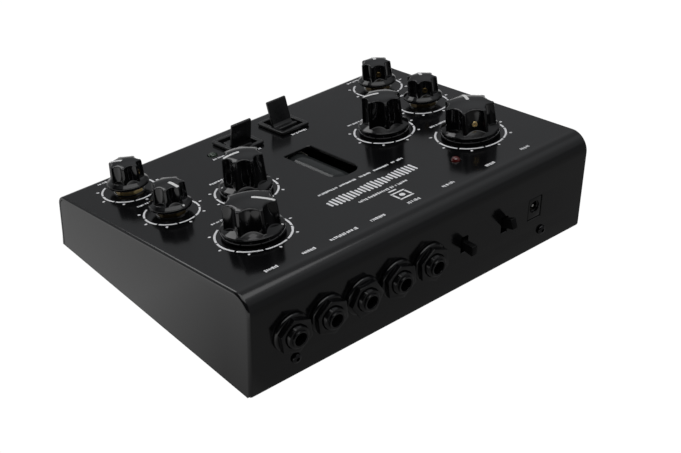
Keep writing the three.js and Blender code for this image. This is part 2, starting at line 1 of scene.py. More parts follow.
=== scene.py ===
# A black desktop case with a sloping top panel: eight fluted knobs with printed scales, two
# paddle switches, two lamps and a window over a glass valve lying on its side. The rear wall
# carries five jacks, two lever switches, a DC inlet and two screws.
# X runs across the case, Y from front to rear, Z up. Shapes are worked out in millimetres and
# scaled to metres as each mesh is made. "Panel" places are (x, s, h): across, up the slope
# towards the rear, and out of the panel.
import json
import math
from math import pi
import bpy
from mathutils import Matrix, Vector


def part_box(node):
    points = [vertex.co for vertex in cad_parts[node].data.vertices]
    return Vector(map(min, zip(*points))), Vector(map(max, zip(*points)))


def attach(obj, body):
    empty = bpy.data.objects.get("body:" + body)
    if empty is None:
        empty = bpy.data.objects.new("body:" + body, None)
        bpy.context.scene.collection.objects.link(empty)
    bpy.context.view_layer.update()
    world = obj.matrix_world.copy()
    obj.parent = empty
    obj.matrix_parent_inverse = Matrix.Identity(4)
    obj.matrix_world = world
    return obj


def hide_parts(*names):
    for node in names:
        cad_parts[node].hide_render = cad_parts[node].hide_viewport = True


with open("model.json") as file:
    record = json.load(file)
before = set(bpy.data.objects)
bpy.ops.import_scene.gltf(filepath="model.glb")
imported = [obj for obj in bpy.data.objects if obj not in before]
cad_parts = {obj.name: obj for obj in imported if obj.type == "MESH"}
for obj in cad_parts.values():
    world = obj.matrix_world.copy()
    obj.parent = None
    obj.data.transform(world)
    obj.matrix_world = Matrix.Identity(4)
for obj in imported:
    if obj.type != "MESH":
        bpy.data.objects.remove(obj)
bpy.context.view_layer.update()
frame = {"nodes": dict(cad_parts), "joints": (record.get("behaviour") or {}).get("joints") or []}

from types import SimpleNamespace

import bmesh
import bpy
import numpy as np
from mathutils import Matrix, Vector

MM = 0.001
SIDES = ("right", "left")
joints = {joint["name"]: joint for joint in frame["joints"]}


def box_mm(node):
    low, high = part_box(node)
    return Vector(low) / MM, Vector(high) / MM


def centre_xz(node):
    low, high = box_mm(node)
    return (low.x + high.x) / 2, (low.z + high.z) / 2


def joint_mm(name):
    return Vector(joints[name]["pos_m"]) / MM


def middle_deg(name):
    """middle of a joint's range, which is given either in degrees or in radians"""
    joint = joints[name]
    limits = joint.get("range_deg") or [math.degrees(v) for v in joint["range"]]
    return (limits[0] + limits[1]) / 2


# ---------------------------------------------------------------- case and panel frames
panel_normal = Vector(joints["turn_right_rear"]["axis"]).normalized()
panel_point = joint_mm("turn_right_rear")
SLOPE = math.atan2(-panel_normal.y, panel_normal.z)
COS_SLOPE = math.cos(SLOPE)
cover_low, cover_high = box_mm("top_cover")
X1, Y0, Y1 = cover_high.x, cover_low.y, cover_high.y     # half width, front face, rear face


def top_z(y):
    return panel_point.z + (y - panel_point.y) * math.tan(SLOPE)


TILT = Matrix.Rotation(SLOPE, 4, "X")
PANEL = Matrix.Translation(Vector((0, 0, top_z(0)))) @ TILT      # panel mm -> case mm
TO_Y = Matrix(((1, 0, 0, 0), (0, 0, 1, 0), (0, -1, 0, 0), (0, 0, 0, 1)))     # Z becomes +Y
ALONG_X = Matrix(((0, 0, 1, 0), (1, 0, 0, 0), (0, 1, 0, 0), (0, 0, 0, 1)))   # (y, z) along X


def to_panel(point):
    return PANEL.inverted() @ Vector(point)


def panel_centre(node):
    low, high = box_mm(node)
    return to_panel((low + high) / 2)


def panel_at(x, s):
    return PANEL @ Matrix.Translation((x, s, 0))


def control_frame(control):
    """frame of a knob: origin at its joint, Z out of the panel"""
    return Matrix.Translation(joint_mm(f"turn_{control}")) @ TILT


def rear_at(x, z, y=Y1):
    """frame on the rear wall: local Z points out of it, local Y points down"""
    return Matrix.Translation((x, y, z)) @ TO_Y


# ---------------------------------------------------------------- objects
def shade(o, smooth=True, sharp=32.0):
    mesh = o.data
    mesh.polygons.foreach_set("use_smooth", [smooth] * len(mesh.polygons))
    if smooth and sharp is not None:
        mesh.set_sharp_from_angle(angle=math.radians(sharp))
    mesh.update()


def register(o, body=None, replaces=None):
    if body:
        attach(o, body)
    if replaces:
        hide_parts(replaces)


def finish(o, body, replaces, sharp=30.0):
    """shade and register a piece once it has been carved"""
    shade(o, sharp=sharp)
    register(o, body, replaces)


def make(name, shape, mat=None, body="case", matrix=Matrix.Identity(4), smooth=True,
         sharp=32.0, replaces=None, slot=None):
    """object from a shape (vertices, faces) in millimetres; sharp is an edge angle or None"""
    verts, faces = shape
    mesh = bpy.data.meshes.new(name)
    mesh.from_pydata([tuple((matrix @ Vector(v)) * MM) for v in verts], [],
                     [tuple(f) for f in faces])
    mesh.update()
    o = bpy.data.objects.new(name, mesh)
    bpy.context.scene.collection.objects.link(o)
    bm = bmesh.new()
    bm.from_mesh(mesh)
    bmesh.ops.remove_doubles(bm, verts=bm.verts, dist=1e-7)
    bmesh.ops.recalc_face_normals(bm, faces=bm.faces)
    bm.to_mesh(mesh)
    bm.free()
    if mat:
        mesh.materials.append(mat)
    shade(o, smooth, sharp)
    register(o, body, replaces)
    return o


def apply_mods(o):
    graph = bpy.context.evaluated_depsgraph_get()
    mesh = bpy.data.meshes.new_from_object(o.evaluated_get(graph), depsgraph=graph)
    o.modifiers.clear()
    old = o.data
    o.data = mesh
    bpy.data.meshes.remove(old)


def carve(o, shape, matrix=Matrix.Identity(4), operation="DIFFERENCE"):
    """combine an object with a second shape that is then thrown away"""
    cutter = make("cutter", shape, body=None, matrix=matrix)
    mod = o.modifiers.new("b", "BOOLEAN")
    mod.operation = operation
    mod.solver = "EXACT"
    mod.object = cutter
    bpy.context.view_layer.update()
    apply_mods(o)
    bpy.data.objects.remove(cutter)


def add_bevel(o, width, segs, angle):
    mod = o.modifiers.new("v", "BEVEL")
    mod.width = width * MM
    mod.segments = segs
    mod.limit_method = "ANGLE"
    mod.angle_limit = math.radians(angle)
    mod.use_clamp_overlap = True
    mod.miter_outer = "MITER_ARC"


def round_edges(o, width, segs=3, angle=40.0):
    add_bevel(o, width, segs, angle)
    apply_mods(o)


# ---------------------------------------------------------------- shapes: (vertices, faces)
def skin(rows, closed=False):
    """faces between successive rings of vertex indices; a repeated index makes a pole"""
    pairs = list(zip(rows, rows[1:]))
    if closed:
        pairs.append((rows[-1], rows[0]))
    faces = []
    for low, high in pairs:
        for i in range(len(low)):
            j = (i + 1) % len(low)
            face = list(dict.fromkeys((low[i], low[j], high[j], high[i])))
            if len(face) > 2:
                faces.append(face)
    return faces


def lathe(profile, n=64):
    """solid of revolution from (r, z) points that start and end on the axis or form a loop"""
    verts, rings = [], []
    for r, z in profile:
        if r < 1e-6:
            rings.append([len(verts)] * n)
            verts.append((0, 0, z))
        else:
            rings.append(list(range(len(verts), len(verts) + n)))
            verts += [(r * math.cos(2 * pi * i / n), r * math.sin(2 * pi * i / n), z)
                      for i in range(n)]
    return verts, skin(rings, closed=profile[0][0] > 1e-6)


def crown_points(radius, base, height, steps):
    """(r, z) points of a quarter ellipse from above the rim to the axis"""
    turns = [k / steps * pi / 2 for k in range(1, steps)]
    points = [(radius * math.cos(t), base + height * math.sin(t)) for t in turns]
    return points + [(0, base + height)]


def outline(corners, segs=6):
    """closed 2D outline from corners (x, y, fillet radius)"""
    points = []
    n = len(corners)
    for i, (x, y, radius) in enumerate(corners):
        corner = Vector((x, y))
        if not radius:
            points.append(corner)
            continue
        before, after = Vector(corners[i - 1][:2]), Vector(corners[(i + 1) % n][:2])
        u, v = (before - corner).normalized(), (after - corner).normalized()
        half = math.acos(max(-1, min(1, u.dot(v)))) / 2
        reach = radius / math.tan(half)
        centre = corner + (u + v).normalized() * (radius / math.sin(half))
        start, end = corner + u * reach - centre, corner + v * reach - centre
        angle = math.atan2(start.y, start.x)
        sweep = math.atan2(end.y, end.x) - angle
        while sweep > pi:
            sweep -= 2 * pi
        while sweep < -pi:
            sweep += 2 * pi
        for k in range(segs + 1):
            a = angle + sweep * k / segs
            points.append(centre + radius * Vector((math.cos(a), math.sin(a))))
    return points


def rrect(x0, x1, y0, y1, r, segs=6):
    return outline([(x0, y0, r), (x1, y0, r), (x1, y1, r), (x0, y1, r)], segs)


def circle(r, n=48, x=0, y=0, turn=0):
    return [Vector((x + r * math.cos(turn + 2 * pi * i / n),
                    y + r * math.sin(turn + 2 * pi * i / n))) for i in range(n)]


def hexagon(across_flats, turn):
    return circle(across_flats / math.sqrt(3), 6, turn=turn)


def prism(points, z0, z1, flare=None):
    """outline carried along Z; flare (height, amount) widens it between that height and 0"""
    points = [Vector((p[0], p[1])) for p in points]
    n = len(points)
    area = sum(points[i - 1].x * points[i].y - points[i].x * points[i - 1].y for i in range(n))
    if area < 0:
        points = points[::-1]
    levels = [(z0, 0.0), (z1, 0.0)]
    if flare:
        levels = [(z0, 0.0), (flare[0], 0.0), (0.0, flare[1]), (z1, flare[1])]
    verts = []
    for z, offset in levels:
        for i in range(n):
            p = points[i]
            if offset:
                edge_in = (p - points[i - 1]).normalized()
                edge_out = (points[(i + 1) % n] - p).normalized()
                normal = Vector((edge_in.y + edge_out.y, -edge_in.x - edge_out.x)).normalized()
                miter = max(0.5, normal.dot(Vector((edge_in.y, -edge_in.x))))
                p = p + normal * offset / miter
            verts.append((p.x, p.y, z))
    rows = [list(range(k * n, (k + 1) * n)) for k in range(len(levels))]
    return verts, skin(rows) + [tuple(rows[0][::-1]), tuple(rows[-1])]


def cuboid(x0, x1, y0, y1, z0, z1):
    verts = [(x, y, z) for z in (z0, z1) for y in (y0, y1) for x in (x0, x1)]
    return verts, [(0, 2, 3, 1), (4, 5, 7, 6), (0, 1, 5, 4), (2, 6, 7, 3), (0, 4, 6, 2),
                   (1, 3, 7, 5)]


# sides between two four-point sections of a band, as offsets from the first section
BAND_SIDES = ((1, 3, 7, 5), (0, 4, 6, 2), (0, 1, 5, 4), (2, 6, 7, 3))


def band_faces(sections, sides=BAND_SIDES):
    """faces of a closed band of four-point sections"""
    faces = [tuple(4 * k + i for i in side) for k in range(sections - 1) for side in sides]
    end = 4 * (sections - 1)
    return faces + [(0, 2, 3, 1), (end, end + 1, end + 3, end + 2)]


def merge(shapes):
    verts, faces = [], []
    for more_verts, more_faces in shapes:
        start = len(verts)
        verts += [tuple(v) for v in more_verts]
        faces += [tuple(i + start for i in f) for f in more_faces]
    return verts, faces


def moved(shape, matrix):
    return [tuple(matrix @ Vector(v)) for v in shape[0]], shape[1]


# ---------------------------------------------------------------- materials
class Mat:
    """material with procedural patterns in object space; its methods can be chained"""

    def __init__(self, name):
        self.material = bpy.data.materials.new(name)
        self.material.use_nodes = True
        self.tree = self.material.node_tree
        self.shader = self.tree.nodes["Principled BSDF"]
        self.coords = None

    def set(self, socket, value):
        self.shader.inputs[socket].default_value = value
        return self

    def node(self, kind, **settings):
        node = self.tree.nodes.new(kind)
        for key, value in settings.items():
            setattr(node, key, value)
        return node

    def link(self, source, target):
        self.tree.links.new(source, target)

    def place(self, texture):
        if self.coords is None:
            self.coords = self.node("ShaderNodeTexCoord")
        self.link(self.coords.outputs["Object"], texture.inputs["Vector"])

    def noise(self, scale, detail=3.0, rough=0.5):
        node = self.node("ShaderNodeTexNoise")
        node.inputs["Scale"].default_value = scale
        node.inputs["Detail"].default_value = detail
        node.inputs["Roughness"].default_value = rough
        self.place(node)
        return node.outputs["Fac"]

    def voronoi(self, scale):
        node = self.node("ShaderNodeTexVoronoi")
        node.inputs["Scale"].default_value = scale
        self.place(node)
        return node.outputs["Distance"]

    def ramp(self, value, over, to=(0, 1)):
        """map the span `over` to the span `to`, held at both ends"""
        node = self.node("ShaderNodeMapRange", clamp=True)
        node.inputs["From Min"].default_value, node.inputs["From Max"].default_value = over
        node.inputs["To Min"].default_value, node.inputs["To Max"].default_value = to
        self.link(value, node.inputs["Value"])
        return node.outputs["Result"]

    def math(self, operation, a, b):
        node = self.node("ShaderNodeMath", operation=operation)
        for socket, value in zip(node.inputs, (a, b)):
            if isinstance(value, (int, float)):
                socket.default_value = value
            else:
                self.link(value, socket)
        return node.outputs[0]

    def mix(self, factor, a, b):
        node = self.node("ShaderNodeMix", data_type="RGBA")
        for index, value in ((6, a), (7, b)):
            if isinstance(value, tuple):
                node.inputs[index].default_value = (*value, 1)
            else:
                self.link(value, node.inputs[index])
        self.link(factor, node.inputs[0])
        return node.outputs[2]

    def drive(self, socket, source):
        self.link(source, self.shader.inputs[socket])
        return self

    def tint(self, dark, light, over=(0.3, 0.7), pattern=None, **noise):
        """vary the colour with a pattern, by default noise"""
        pattern = pattern or self.noise(**noise)
        return self.drive("Base Color", self.mix(self.ramp(pattern, over), dark, light))

    def roughen(self, low, high, over=(0.3, 0.75), **noise):
        return self.drive("Roughness", self.ramp(self.noise(**noise), over, (low, high)))

    def bump(self, depth, strength, **noise):
        """surface relief, depth in metres, laid over any earlier bump"""
        node = self.node("ShaderNodeBump")
        node.inputs["Distance"].default_value = depth
        node.inputs["Strength"].default_value = strength
        self.link(self.noise(**noise), node.inputs["Height"])
        normal = self.shader.inputs["Normal"]
        if normal.is_linked:
            self.link(normal.links[0].from_socket, node.inputs["Normal"])
        self.link(node.outputs["Normal"], normal)
        return self

    def dusty(self, base, dust, amount, scale=900.0):
        """slow mottling with sparse fine specks of a grey level"""
        slow = self.noise(scale=18, detail=4, rough=0.55)
        fine = self.noise(scale=scale, detail=2, rough=0.6)
        mottled = self.mix(self.ramp(slow, over=(0.35, 0.65)),
                           tuple(0.92 * v for v in base), tuple(1.08 * v for v in base))
        speck = self.ramp(fine, over=(0.70, 0.78), to=(0.0, amount))
        return self.drive("Base Color", self.mix(speck, mottled, (dust, dust, dust)))


def surface(name, base, rough, metal=0.0):
    return (Mat(name).set("Base Color", (*base, 1)).set("Roughness", rough)
            .set("Metallic", metal))


def case_paint():
    """semi-gloss black enamel"""
    m = surface("case_paint", base=(0.004, 0.004, 0.0043), rough=0.15).set("IOR", 1.5)
    m.dusty(base=(0.0036, 0.0036, 0.004), dust=0.02, amount=0.2)
    broad = m.ramp(m.noise(scale=26), over=(0.3, 0.7), to=(0.13, 0.165))
    fine = m.ramp(m.noise(scale=1400, detail=2), over=(0.3, 0.7), to=(-0.01, 0.015))
    m.drive("Roughness", m.math("ADD", broad, fine))
    m.bump(depth=6e-6, strength=0.25, scale=1500, detail=2)
    return m.bump(depth=1e-5, strength=0.10, scale=300, detail=2)


def metal(name, base, rough):
    return (surface(name, base, rough, metal=1.0)
            .tint(tuple(0.86 * v for v in base), base, scale=130)
            .roughen(rough * 0.75, rough * 1.4, scale=600, rough=0.6)
            .bump(depth=5e-6, strength=0.2, scale=1800, detail=2, rough=0.6))


def solder_mask():
    m = surface("solder_mask", base=(0.03, 0.12, 0.06), rough=0.3)
    m.tint((0.018, 0.085, 0.04), (0.03, 0.12, 0.06), over=(0.2, 0.5),
           pattern=m.voronoi(scale=260))
    return m.bump(depth=3e-5, strength=0.3, scale=700, detail=2)


METALS = {  # name, colour, roughness
    "steel": ("zinc_steel", (0.62, 0.62, 0.6), 0.28),
    "brass": ("brass", (0.90, 0.68, 0.32), 0.32),
    # darker copy of brass: painted shade for the nuts and set screws that sit under the knobs
    "brass_shaded": ("brass_shaded", (0.16, 0.115, 0.05), 0.4),
    "nickel": ("nickel", (0.72, 0.71, 0.68), 0.18),
    "contact": ("contact_spring", (0.78, 0.74, 0.62), 0.2),
    "plate": ("anode_plate", (0.16, 0.16, 0.17), 0.5),
    "getter": ("getter_mirror", (0.78, 0.79, 0.8), 0.06),
    "screw": ("black_chrome", (0.05, 0.05, 0.052), 0.22),
}

mats = {
    "case": case_paint(),
    # inner and cut faces of sheet
    "tray": surface("sheet_edge", base=(0.006, 0.006, 0.0063), rough=0.3)
        .bump(depth=2e-5, strength=0.3, scale=900, detail=2)
        .roughen(0.24, 0.4, scale=400, rough=0.6)
        .dusty(base=(0.005, 0.005, 0.0055), dust=0.03, amount=0.3),
    # moulded knob, gloss black
    "knob": surface("knob_gloss", base=(0.0022, 0.0022, 0.0026), rough=0.08).set("IOR", 1.5)
        .dusty(base=(0.002, 0.002, 0.0024), dust=0.012, amount=0.15, scale=1600)
        .roughen(0.06, 0.13, scale=160, detail=4, rough=0.6)
        .bump(depth=8e-6, strength=0.12, scale=240, detail=2),
    # semi-gloss black hardware plastic
    "black": surface("black_moulding", base=(0.003, 0.003, 0.0034), rough=0.14)
        .dusty(base=(0.0028, 0.0028, 0.0032), dust=0.015, amount=0.2, scale=1300)
        .roughen(0.10, 0.18, scale=300, rough=0.6)
        .bump(depth=6e-6, strength=0.2, scale=900, detail=2),
    # matt black lever plastic
    "lever": surface("lever_matt", base=(0.0015, 0.0015, 0.0018), rough=0.5)
        .set("Specular IOR Level", 0.2)
        .dusty(base=(0.0014, 0.0014, 0.0016), dust=0.008, amount=0.2, scale=1300)
        .roughen(0.45, 0.6, scale=600, rough=0.6),
    # fine-textured black switch plastic
    "switch": surface("switch_plastic", base=(0.005, 0.005, 0.0055), rough=0.32)
        .dusty(base=(0.0048, 0.0048, 0.0053), dust=0.03, amount=0.2, scale=1300)
        .roughen(0.26, 0.4, scale=700, rough=0.6)
        .bump(depth=1e-5, strength=0.4, scale=2200, detail=2),
    # screen-print ink
    "ink": surface("white_ink", base=(0.9, 0.9, 0.92), rough=0.5)
        .tint((0.86, 0.86, 0.88), (0.96, 0.96, 0.97), over=(0.35, 0.7), scale=700, rough=0.6)
        .bump(depth=1e-5, strength=0.4, scale=2500, detail=2),
    # pointer on the knobs
    "inlay": surface("white_inlay", base=(0.82, 0.82, 0.82), rough=0.35)
        .tint((0.78, 0.78, 0.77), (0.9, 0.9, 0.9), over=(0.35, 0.7), scale=900, rough=0.6),
    **{key: metal(*row) for key, row in METALS.items()},
    # the dark tint on the glass is painted shade, standing in for the dark inside of the case
    # seen through the window
    "glass": surface("tube_glass", base=(0.06, 0.065, 0.066), rough=0.015)
        .set("Transmission Weight", 0.6).set("IOR", 1.28)
        .roughen(0.005, 0.05, over=(0.3, 0.8), scale=120),
    "mica": surface("mica", base=(0.75, 0.72, 0.64), rough=0.3)
        .set("Transmission Weight", 0.3)
        .tint((0.66, 0.62, 0.52), (0.82, 0.8, 0.74), scale=200),
    "ceramic": surface("ceramic", base=(0.7, 0.67, 0.6), rough=0.5)
        .tint((0.62, 0.6, 0.54), (0.74, 0.72, 0.66), scale=90, detail=4)
        .bump(depth=4e-5, strength=0.4, scale=1200, detail=2),
    "board": solder_mask(),
    "rubber": surface("foot_rubber", base=(0.015, 0.015, 0.015), rough=0.8)
        .tint((0.012, 0.012, 0.012), (0.03, 0.03, 0.03), scale=500)
        .bump(depth=6e-5, strength=0.6, scale=1500),
    "red": surface("red_lens", base=(0.12, 0.006, 0.005), rough=0.12)
        .set("Transmission Weight", 0.3).set("Coat Weight", 0.6)
        .tint((0.10, 0.005, 0.004), (0.15, 0.009, 0.006), scale=400, detail=2),
    "clear": surface("clear_lens", base=(0.08, 0.13, 0.08), rough=0.1)
        .set("Transmission Weight", 0.7)
        .roughen(0.04, 0.14, over=(0.3, 0.7), scale=400, detail=2),
}
MATS = {key: mat.material for key, mat in mats.items()}

# ---------------------------------------------------------------- top cover
SHEET = 1.5                                       # wall thickness
R_FRONT, R_REAR, R_LIP, R_SIDE = 6.0, 10.0, 2.2, 1.8
R_SIDE_FRONT, R_SIDE_LOW = 0.7, 1.7               # side rounding at the front, low at the rear
SIDE_BLEND = 14.0                                 # length over which the side radius grows
SIDE_STEPS = 10
RUN_STEP = 6                                      # longest spacing along straight runs, about
LIP = 10.5                                        # depth of the flange under the rear edge
SEAM = 0.5                                        # width of the front corner seams
CUT = 4                                           # reach of cutters to each side of a wall
FLARE = (-0.3, 0.3)                               # eased edge of the holes

# panel centre of each paddle switch
SWITCHES = {}
for side in SIDES:
    place = to_panel(joint_mm(f"rock_{side}_paddle"))
    SWITCHES[side] = (place.x, place.y - 0.6)

# window over the valve
TUBE_X = sum(corner.x for corner in box_mm("vacuum_tube")) / 2
WINDOW_X0, WINDOW_X1 = TUBE_X - 9.25, TUBE_X + 9.25
WINDOW_S0, WINDOW_S1 = -26.3, 18.7


def side_radius(y, z):
    """radius of the long side edges at a point of the side outline"""
    if z < 0.01:
        return 0.35 if y < 0 else R_SIDE_LOW
    f = min(1.0, max(0.0, (y - Y0) / SIDE_BLEND))
    r = R_SIDE_FRONT + (R_SIDE - R_SIDE_FRONT) * f * f * (3 - 2 * f)
    if y > Y1 - 6 and z < 3:
        r = R_SIDE_LOW + (r - R_SIDE_LOW) * (z / 3) ** 0.5
    return r


def cover_shell():
    """solid block: the side outline (y, z) carried across X with rounded side edges"""
    coarse = outline([(Y0, 0, 0), (Y0, top_z(Y0), R_FRONT), (Y1, top_z(Y1), R_REAR),
                      (Y1, 0, R_LIP)], 16)
    # extra points on straight runs let the side radius change smoothly
    points = []
    for i, a in enumerate(coarse):
        b = coarse[(i + 1) % len(coarse)]
        parts = max(1, int((b - a).length // RUN_STEP))
        for k in range(parts):
            points.append(a + (b - a) * k / parts)
    n = len(points)
    normals = []
    for i in range(n):
        edge_in = (points[i] - points[i - 1]).normalized()
        edge_out = (points[(i + 1) % n] - points[i]).normalized()
        # the outline goes up the front and back over the top, so outward is to its left
        normals.append(-Vector((edge_in.y + edge_out.y,
                                -edge_in.x - edge_out.x)).normalized())
    radii = [side_radius(p.x, p.y) for p in points]
    verts, rows = [], []
    for side in (-1, 1):
        for step in range(SIDE_STEPS + 1):
            turn = (pi / 2) * (1 - step / SIDE_STEPS if side < 0 else step / SIDE_STEPS)
            rows.append(list(range(len(verts), len(verts) + n)))
            for point, normal, r in zip(points, normals, radii):
                p = point - normal * r * (1 - math.cos(turn))
                if point.y < 0.01:
                    p = Vector((point.x, 0.0))
                verts.append((side * (X1 - r * (1 - math.sin(turn))), p.x, max(0.0, p.y)))
    return verts, skin(rows) + [rows[0][::-1], rows[-1]]


def cover_hollow():
    drop = SHEET / COS_SLOPE
    front, rear = Y0 + SHEET, Y1 - SHEET
    inner = outline([
        (front, -8, 0), (front, top_z(front) - drop, R_FRONT - SHEET),
        (rear, top_z(rear) - drop, R_REAR - SHEET), (rear, SHEET, R_LIP - SHEET),
        (Y1 - LIP, SHEET, 0), (Y1 - LIP, -8, 0)], 10)
    return moved(prism(inner, -X1 + SHEET, X1 - SHEET), ALONG_X)


def panel_holes():
    holes = []

    def cut(points, flare=None):
        holes.append(moved(prism(points, -CUT, CUT, flare), PANEL))

    for name in joints:
        if name.startswith("turn_"):
            c = to_panel(joint_mm(name))
            cut(circle(5.1, 40, c.x, c.y), FLARE)
    for name in ("led_red", "led_clear"):
        c = panel_centre(name)
        cut(circle(2.8, 32, c.x, c.y), FLARE)
    for x, s in SWITCHES.values():
        cut(rrect(x - 8.5, x + 8.5, s - 10.5, s + 10.5, 0.5, 2))
    cut(outline([(WINDOW_X0, WINDOW_S0, 2), (WINDOW_X1, WINDOW_S0, 2),
                 (WINDOW_X1, WINDOW_S1, 7.5), (WINDOW_X0, WINDOW_S1, 7.5)], 10), (-0.35, 0.35))
    return holes


def rear_holes():
    holes = []

    def cut(points, flare=None):
        holes.append(moved(prism(points, -CUT, CUT, flare), rear_at(0, 0)))

    for i in range(1, 6):
        x, z = centre_xz(f"jack_nut_{i}")
        cut(circle(6.4, 36, x, -z), FLARE)
    for side in SIDES:
        p = joint_mm(f"flip_{side}_lever")
        cut(rrect(p.x - 2.3, p.x + 2.3, -p.z - 4.9, -p.z + 4.9, 0.6, 3), FLARE)
    low, high = box_mm("dc_jack")
    gap = 0.35
    cut(rrect(low.x - gap, high.x + gap, -high.z - gap, -low.z + gap, 0.5, 3), FLARE)
    for side in SIDES:
        x, z = centre_xz(f"rear_screw_{side}")
        cut(circle(1.9, 24, x, -z))
    return holes


def seam_line(inset):
    """(y, z) line at an inset from the front face, up to just below the bend"""
    y = Y0 + inset
    line = outline([(y, -3, 0), (y, top_z(y) - inset / COS_SLOPE, R_FRONT - inset),
                    (Y0 + 40, top_z(Y0 + 40) - inset / COS_SLOPE, 0)], 12)
    return [p for p in line if p.x < y + 3.2 and p.y < top_z(Y0) - 1]


def top_cover():
    o = make("top_cover_skin", cover_shell(), MATS["case"])
    carve(o, cover_hollow())
    carve(o, merge(panel_holes() + rear_holes()))
    # a narrow open seam behind the front face on each side
    seam = seam_line(SHEET) + seam_line(SHEET + SEAM)[::-1]
    for wall in (-X1, X1):
        carve(o, moved(prism(seam, wall - 1.0, wall + 1.0), ALONG_X))
    bm = bmesh.new()
    bm.from_mesh(o.data)
    bmesh.ops.remove_doubles(bm, verts=bm.verts, dist=2e-6)
    bmesh.ops.dissolve_degenerate(bm, edges=bm.edges, dist=1e-7)
    bm.to_mesh(o.data)
    bm.free()
    finish(o, "case", "top_cover", sharp=28)


top_cover()

# ---------------------------------------------------------------- knob sizes
# Radii and heights are in the control's frame, heights above its joint.
#   ring, ring_w           printed scale: mean radius and line width
#   skirt, bottom, skirt_top   outer radius and height span of the skirt
#   cone                   (radius, height) points of the cone between skirt and barrel
#   base_r, top_r, top     barrel radius at skirt_top and at its upper end, and that height
#   crown_r, crown_z, crown_top    rim radius and height of the crown, and its peak
#   flute, rib             depth of the scooped flutes, half angle of a rib in degrees
#   bore, ceiling          radius and inner height of the hollow underneath
#   mark, screw            radius of the skirt dot, height of the set screw
KNOBS = {
    "large": SimpleNamespace(
        ring=19.2, ring_w=1.15, skirt=16.2, bottom=1.0, skirt_top=4.6,
        cone=((15.9, 4.5), (14.1, 5.3), (11.2, 6.8)), base_r=14.3, top_r=13.6, top=17.4,
        crown_r=12.8, crown_z=17.95, crown_top=19.7, flute=2.9, rib=3.3,
        bore=9.2, ceiling=4.3, mark=15.05, screw=10.3),
    "medium": SimpleNamespace(
        ring=16.6, ring_w=1.1, skirt=14.0, bottom=1.0, skirt_top=4.55,
        cone=((13.7, 4.45), (11.4, 5.5), (9.2, 6.5)), base_r=11.5, top_r=10.7, top=20.2,
        crown_r=9.9, crown_z=20.8, crown_top=22.5, flute=2.3, rib=3.6,
        bore=9.2, ceiling=4.3, mark=12.6, screw=10.6),
    "small": SimpleNamespace(
        ring=14.2, ring_w=1.05, skirt=11.1, bottom=4.0, skirt_top=5.85,
        cone=((10.8, 5.75), (9.0, 7.0), (6.8, 8.0)), base_r=9.1, top_r=8.7, top=15.3,
        crown_r=7.9, crown_z=16.1, crown_top=17.2, flute=2.2, rib=4.0,
        bore=3.5, ceiling=6.2, mark=9.95, screw=10.6),
}
CONTROLS = {
    "right_front": "small", "right_middle": "small", "left_front": "small",
    "left_middle": "small", "right_inner": "medium", "left_inner": "medium",
    "right_rear": "large", "left_rear": "large",
}

# ---------------------------------------------------------------- graphics printed on the top
INK_LOW, INK_TOP = 0.008, 0.05        # heights of the ink above the panel
SCALE_START = -150                    # degrees, clockwise from the rear
SCALE_PARTS = 7
SCALE_STEP = 300 / SCALE_PARTS
ARC_GAP = 0.55                        # length trimmed from an arc where it meets the next
ARC_STEPS = 24


def arc(x, s, r, width, start, end):
    """flat ring segment, angles in degrees clockwise from the rear"""
    verts = []
    for k in range(ARC_STEPS + 1):
        a = math.radians(start + (end - start) * k / ARC_STEPS)
        for edge in (r - width / 2, r + width / 2):
            for h in (INK_LOW, INK_TOP):
                verts.append((x + edge * math.sin(a), s + edge * math.cos(a), h))
    return verts, band_faces(ARC_STEPS + 1)


def bar(x0, x1, s0, s1, r=None):
    r = min(abs(x1 - x0), abs(s1 - s0)) * 0.45 if r is None else r
    return prism(rrect(x0, x1, s0, s1, r, 4), INK_LOW, INK_TOP)


def tick(x, s, r0, r1, width, angle):
    turn = Matrix.Rotation(-math.radians(angle), 4, "Z")
    return moved(bar(-width / 2, width / 2, r0, r1, width * 0.45),
                 Matrix.Translation((x, s, 0)) @ turn)


def small_print(x0, x1, s0, s1, seed, gap=0.34):
    """a row of short strokes of uneven height standing for a line of small print"""
    rng = np.random.RandomState(seed)
    strokes = []
    x = x0
    height = s1 - s0
    while x < x1 - 0.4:
        width = min(x1 - x, rng.uniform(0.45, 1.15))
        low = s0 + height * rng.uniform(0.0, 0.22)
        high = s1 - height * rng.uniform(0.0, 0.28)
        strokes.append(bar(x, x + width, low, high, 0.16))
        x += width + gap * (1 if rng.uniform() < 0.82 else 2.4)
    return strokes


def knob_scales():
    """arcs, ticks and a caption in front of each knob"""
    rings, ticks, captions = [], [], []
    for control, size in CONTROLS.items():
        c = to_panel(joint_mm(f"turn_{control}"))
        r = KNOBS[size].ring
        gap = math.degrees(ARC_GAP / r)
        last = SCALE_PARTS - 1
        for k in range(SCALE_PARTS):
            start = SCALE_START + k * SCALE_STEP + (gap if k else 0)
            end = SCALE_START + (k + 1) * SCALE_STEP - (gap if k < last else 0)
            rings.append(arc(c.x, c.y, r, KNOBS[size].ring_w, start, end))
            middle = SCALE_START + SCALE_STEP * (k + 0.5)
            ticks.append(tick(c.x, c.y, r + 1.7, r + 3.3, width=1.25, angle=middle))
        s0 = c.y - r - 5.4
        captions += small_print(c.x - 8.6, c.x + 8.6, s0, s0 + 1.9, seed=11 + len(captions))
    return rings, ticks, captions


# captions along the rear edge: centre x, length
REAR_LABELS = [(90.2, 8), (67.8, 9), (45.5, 17), (23.5, 9), (-0.4, 8), (-24, 8.5),
               (-54.2, 7), (-80.3, 6)]
REAR_LABEL_S = 67.5 / COS_SLOPE


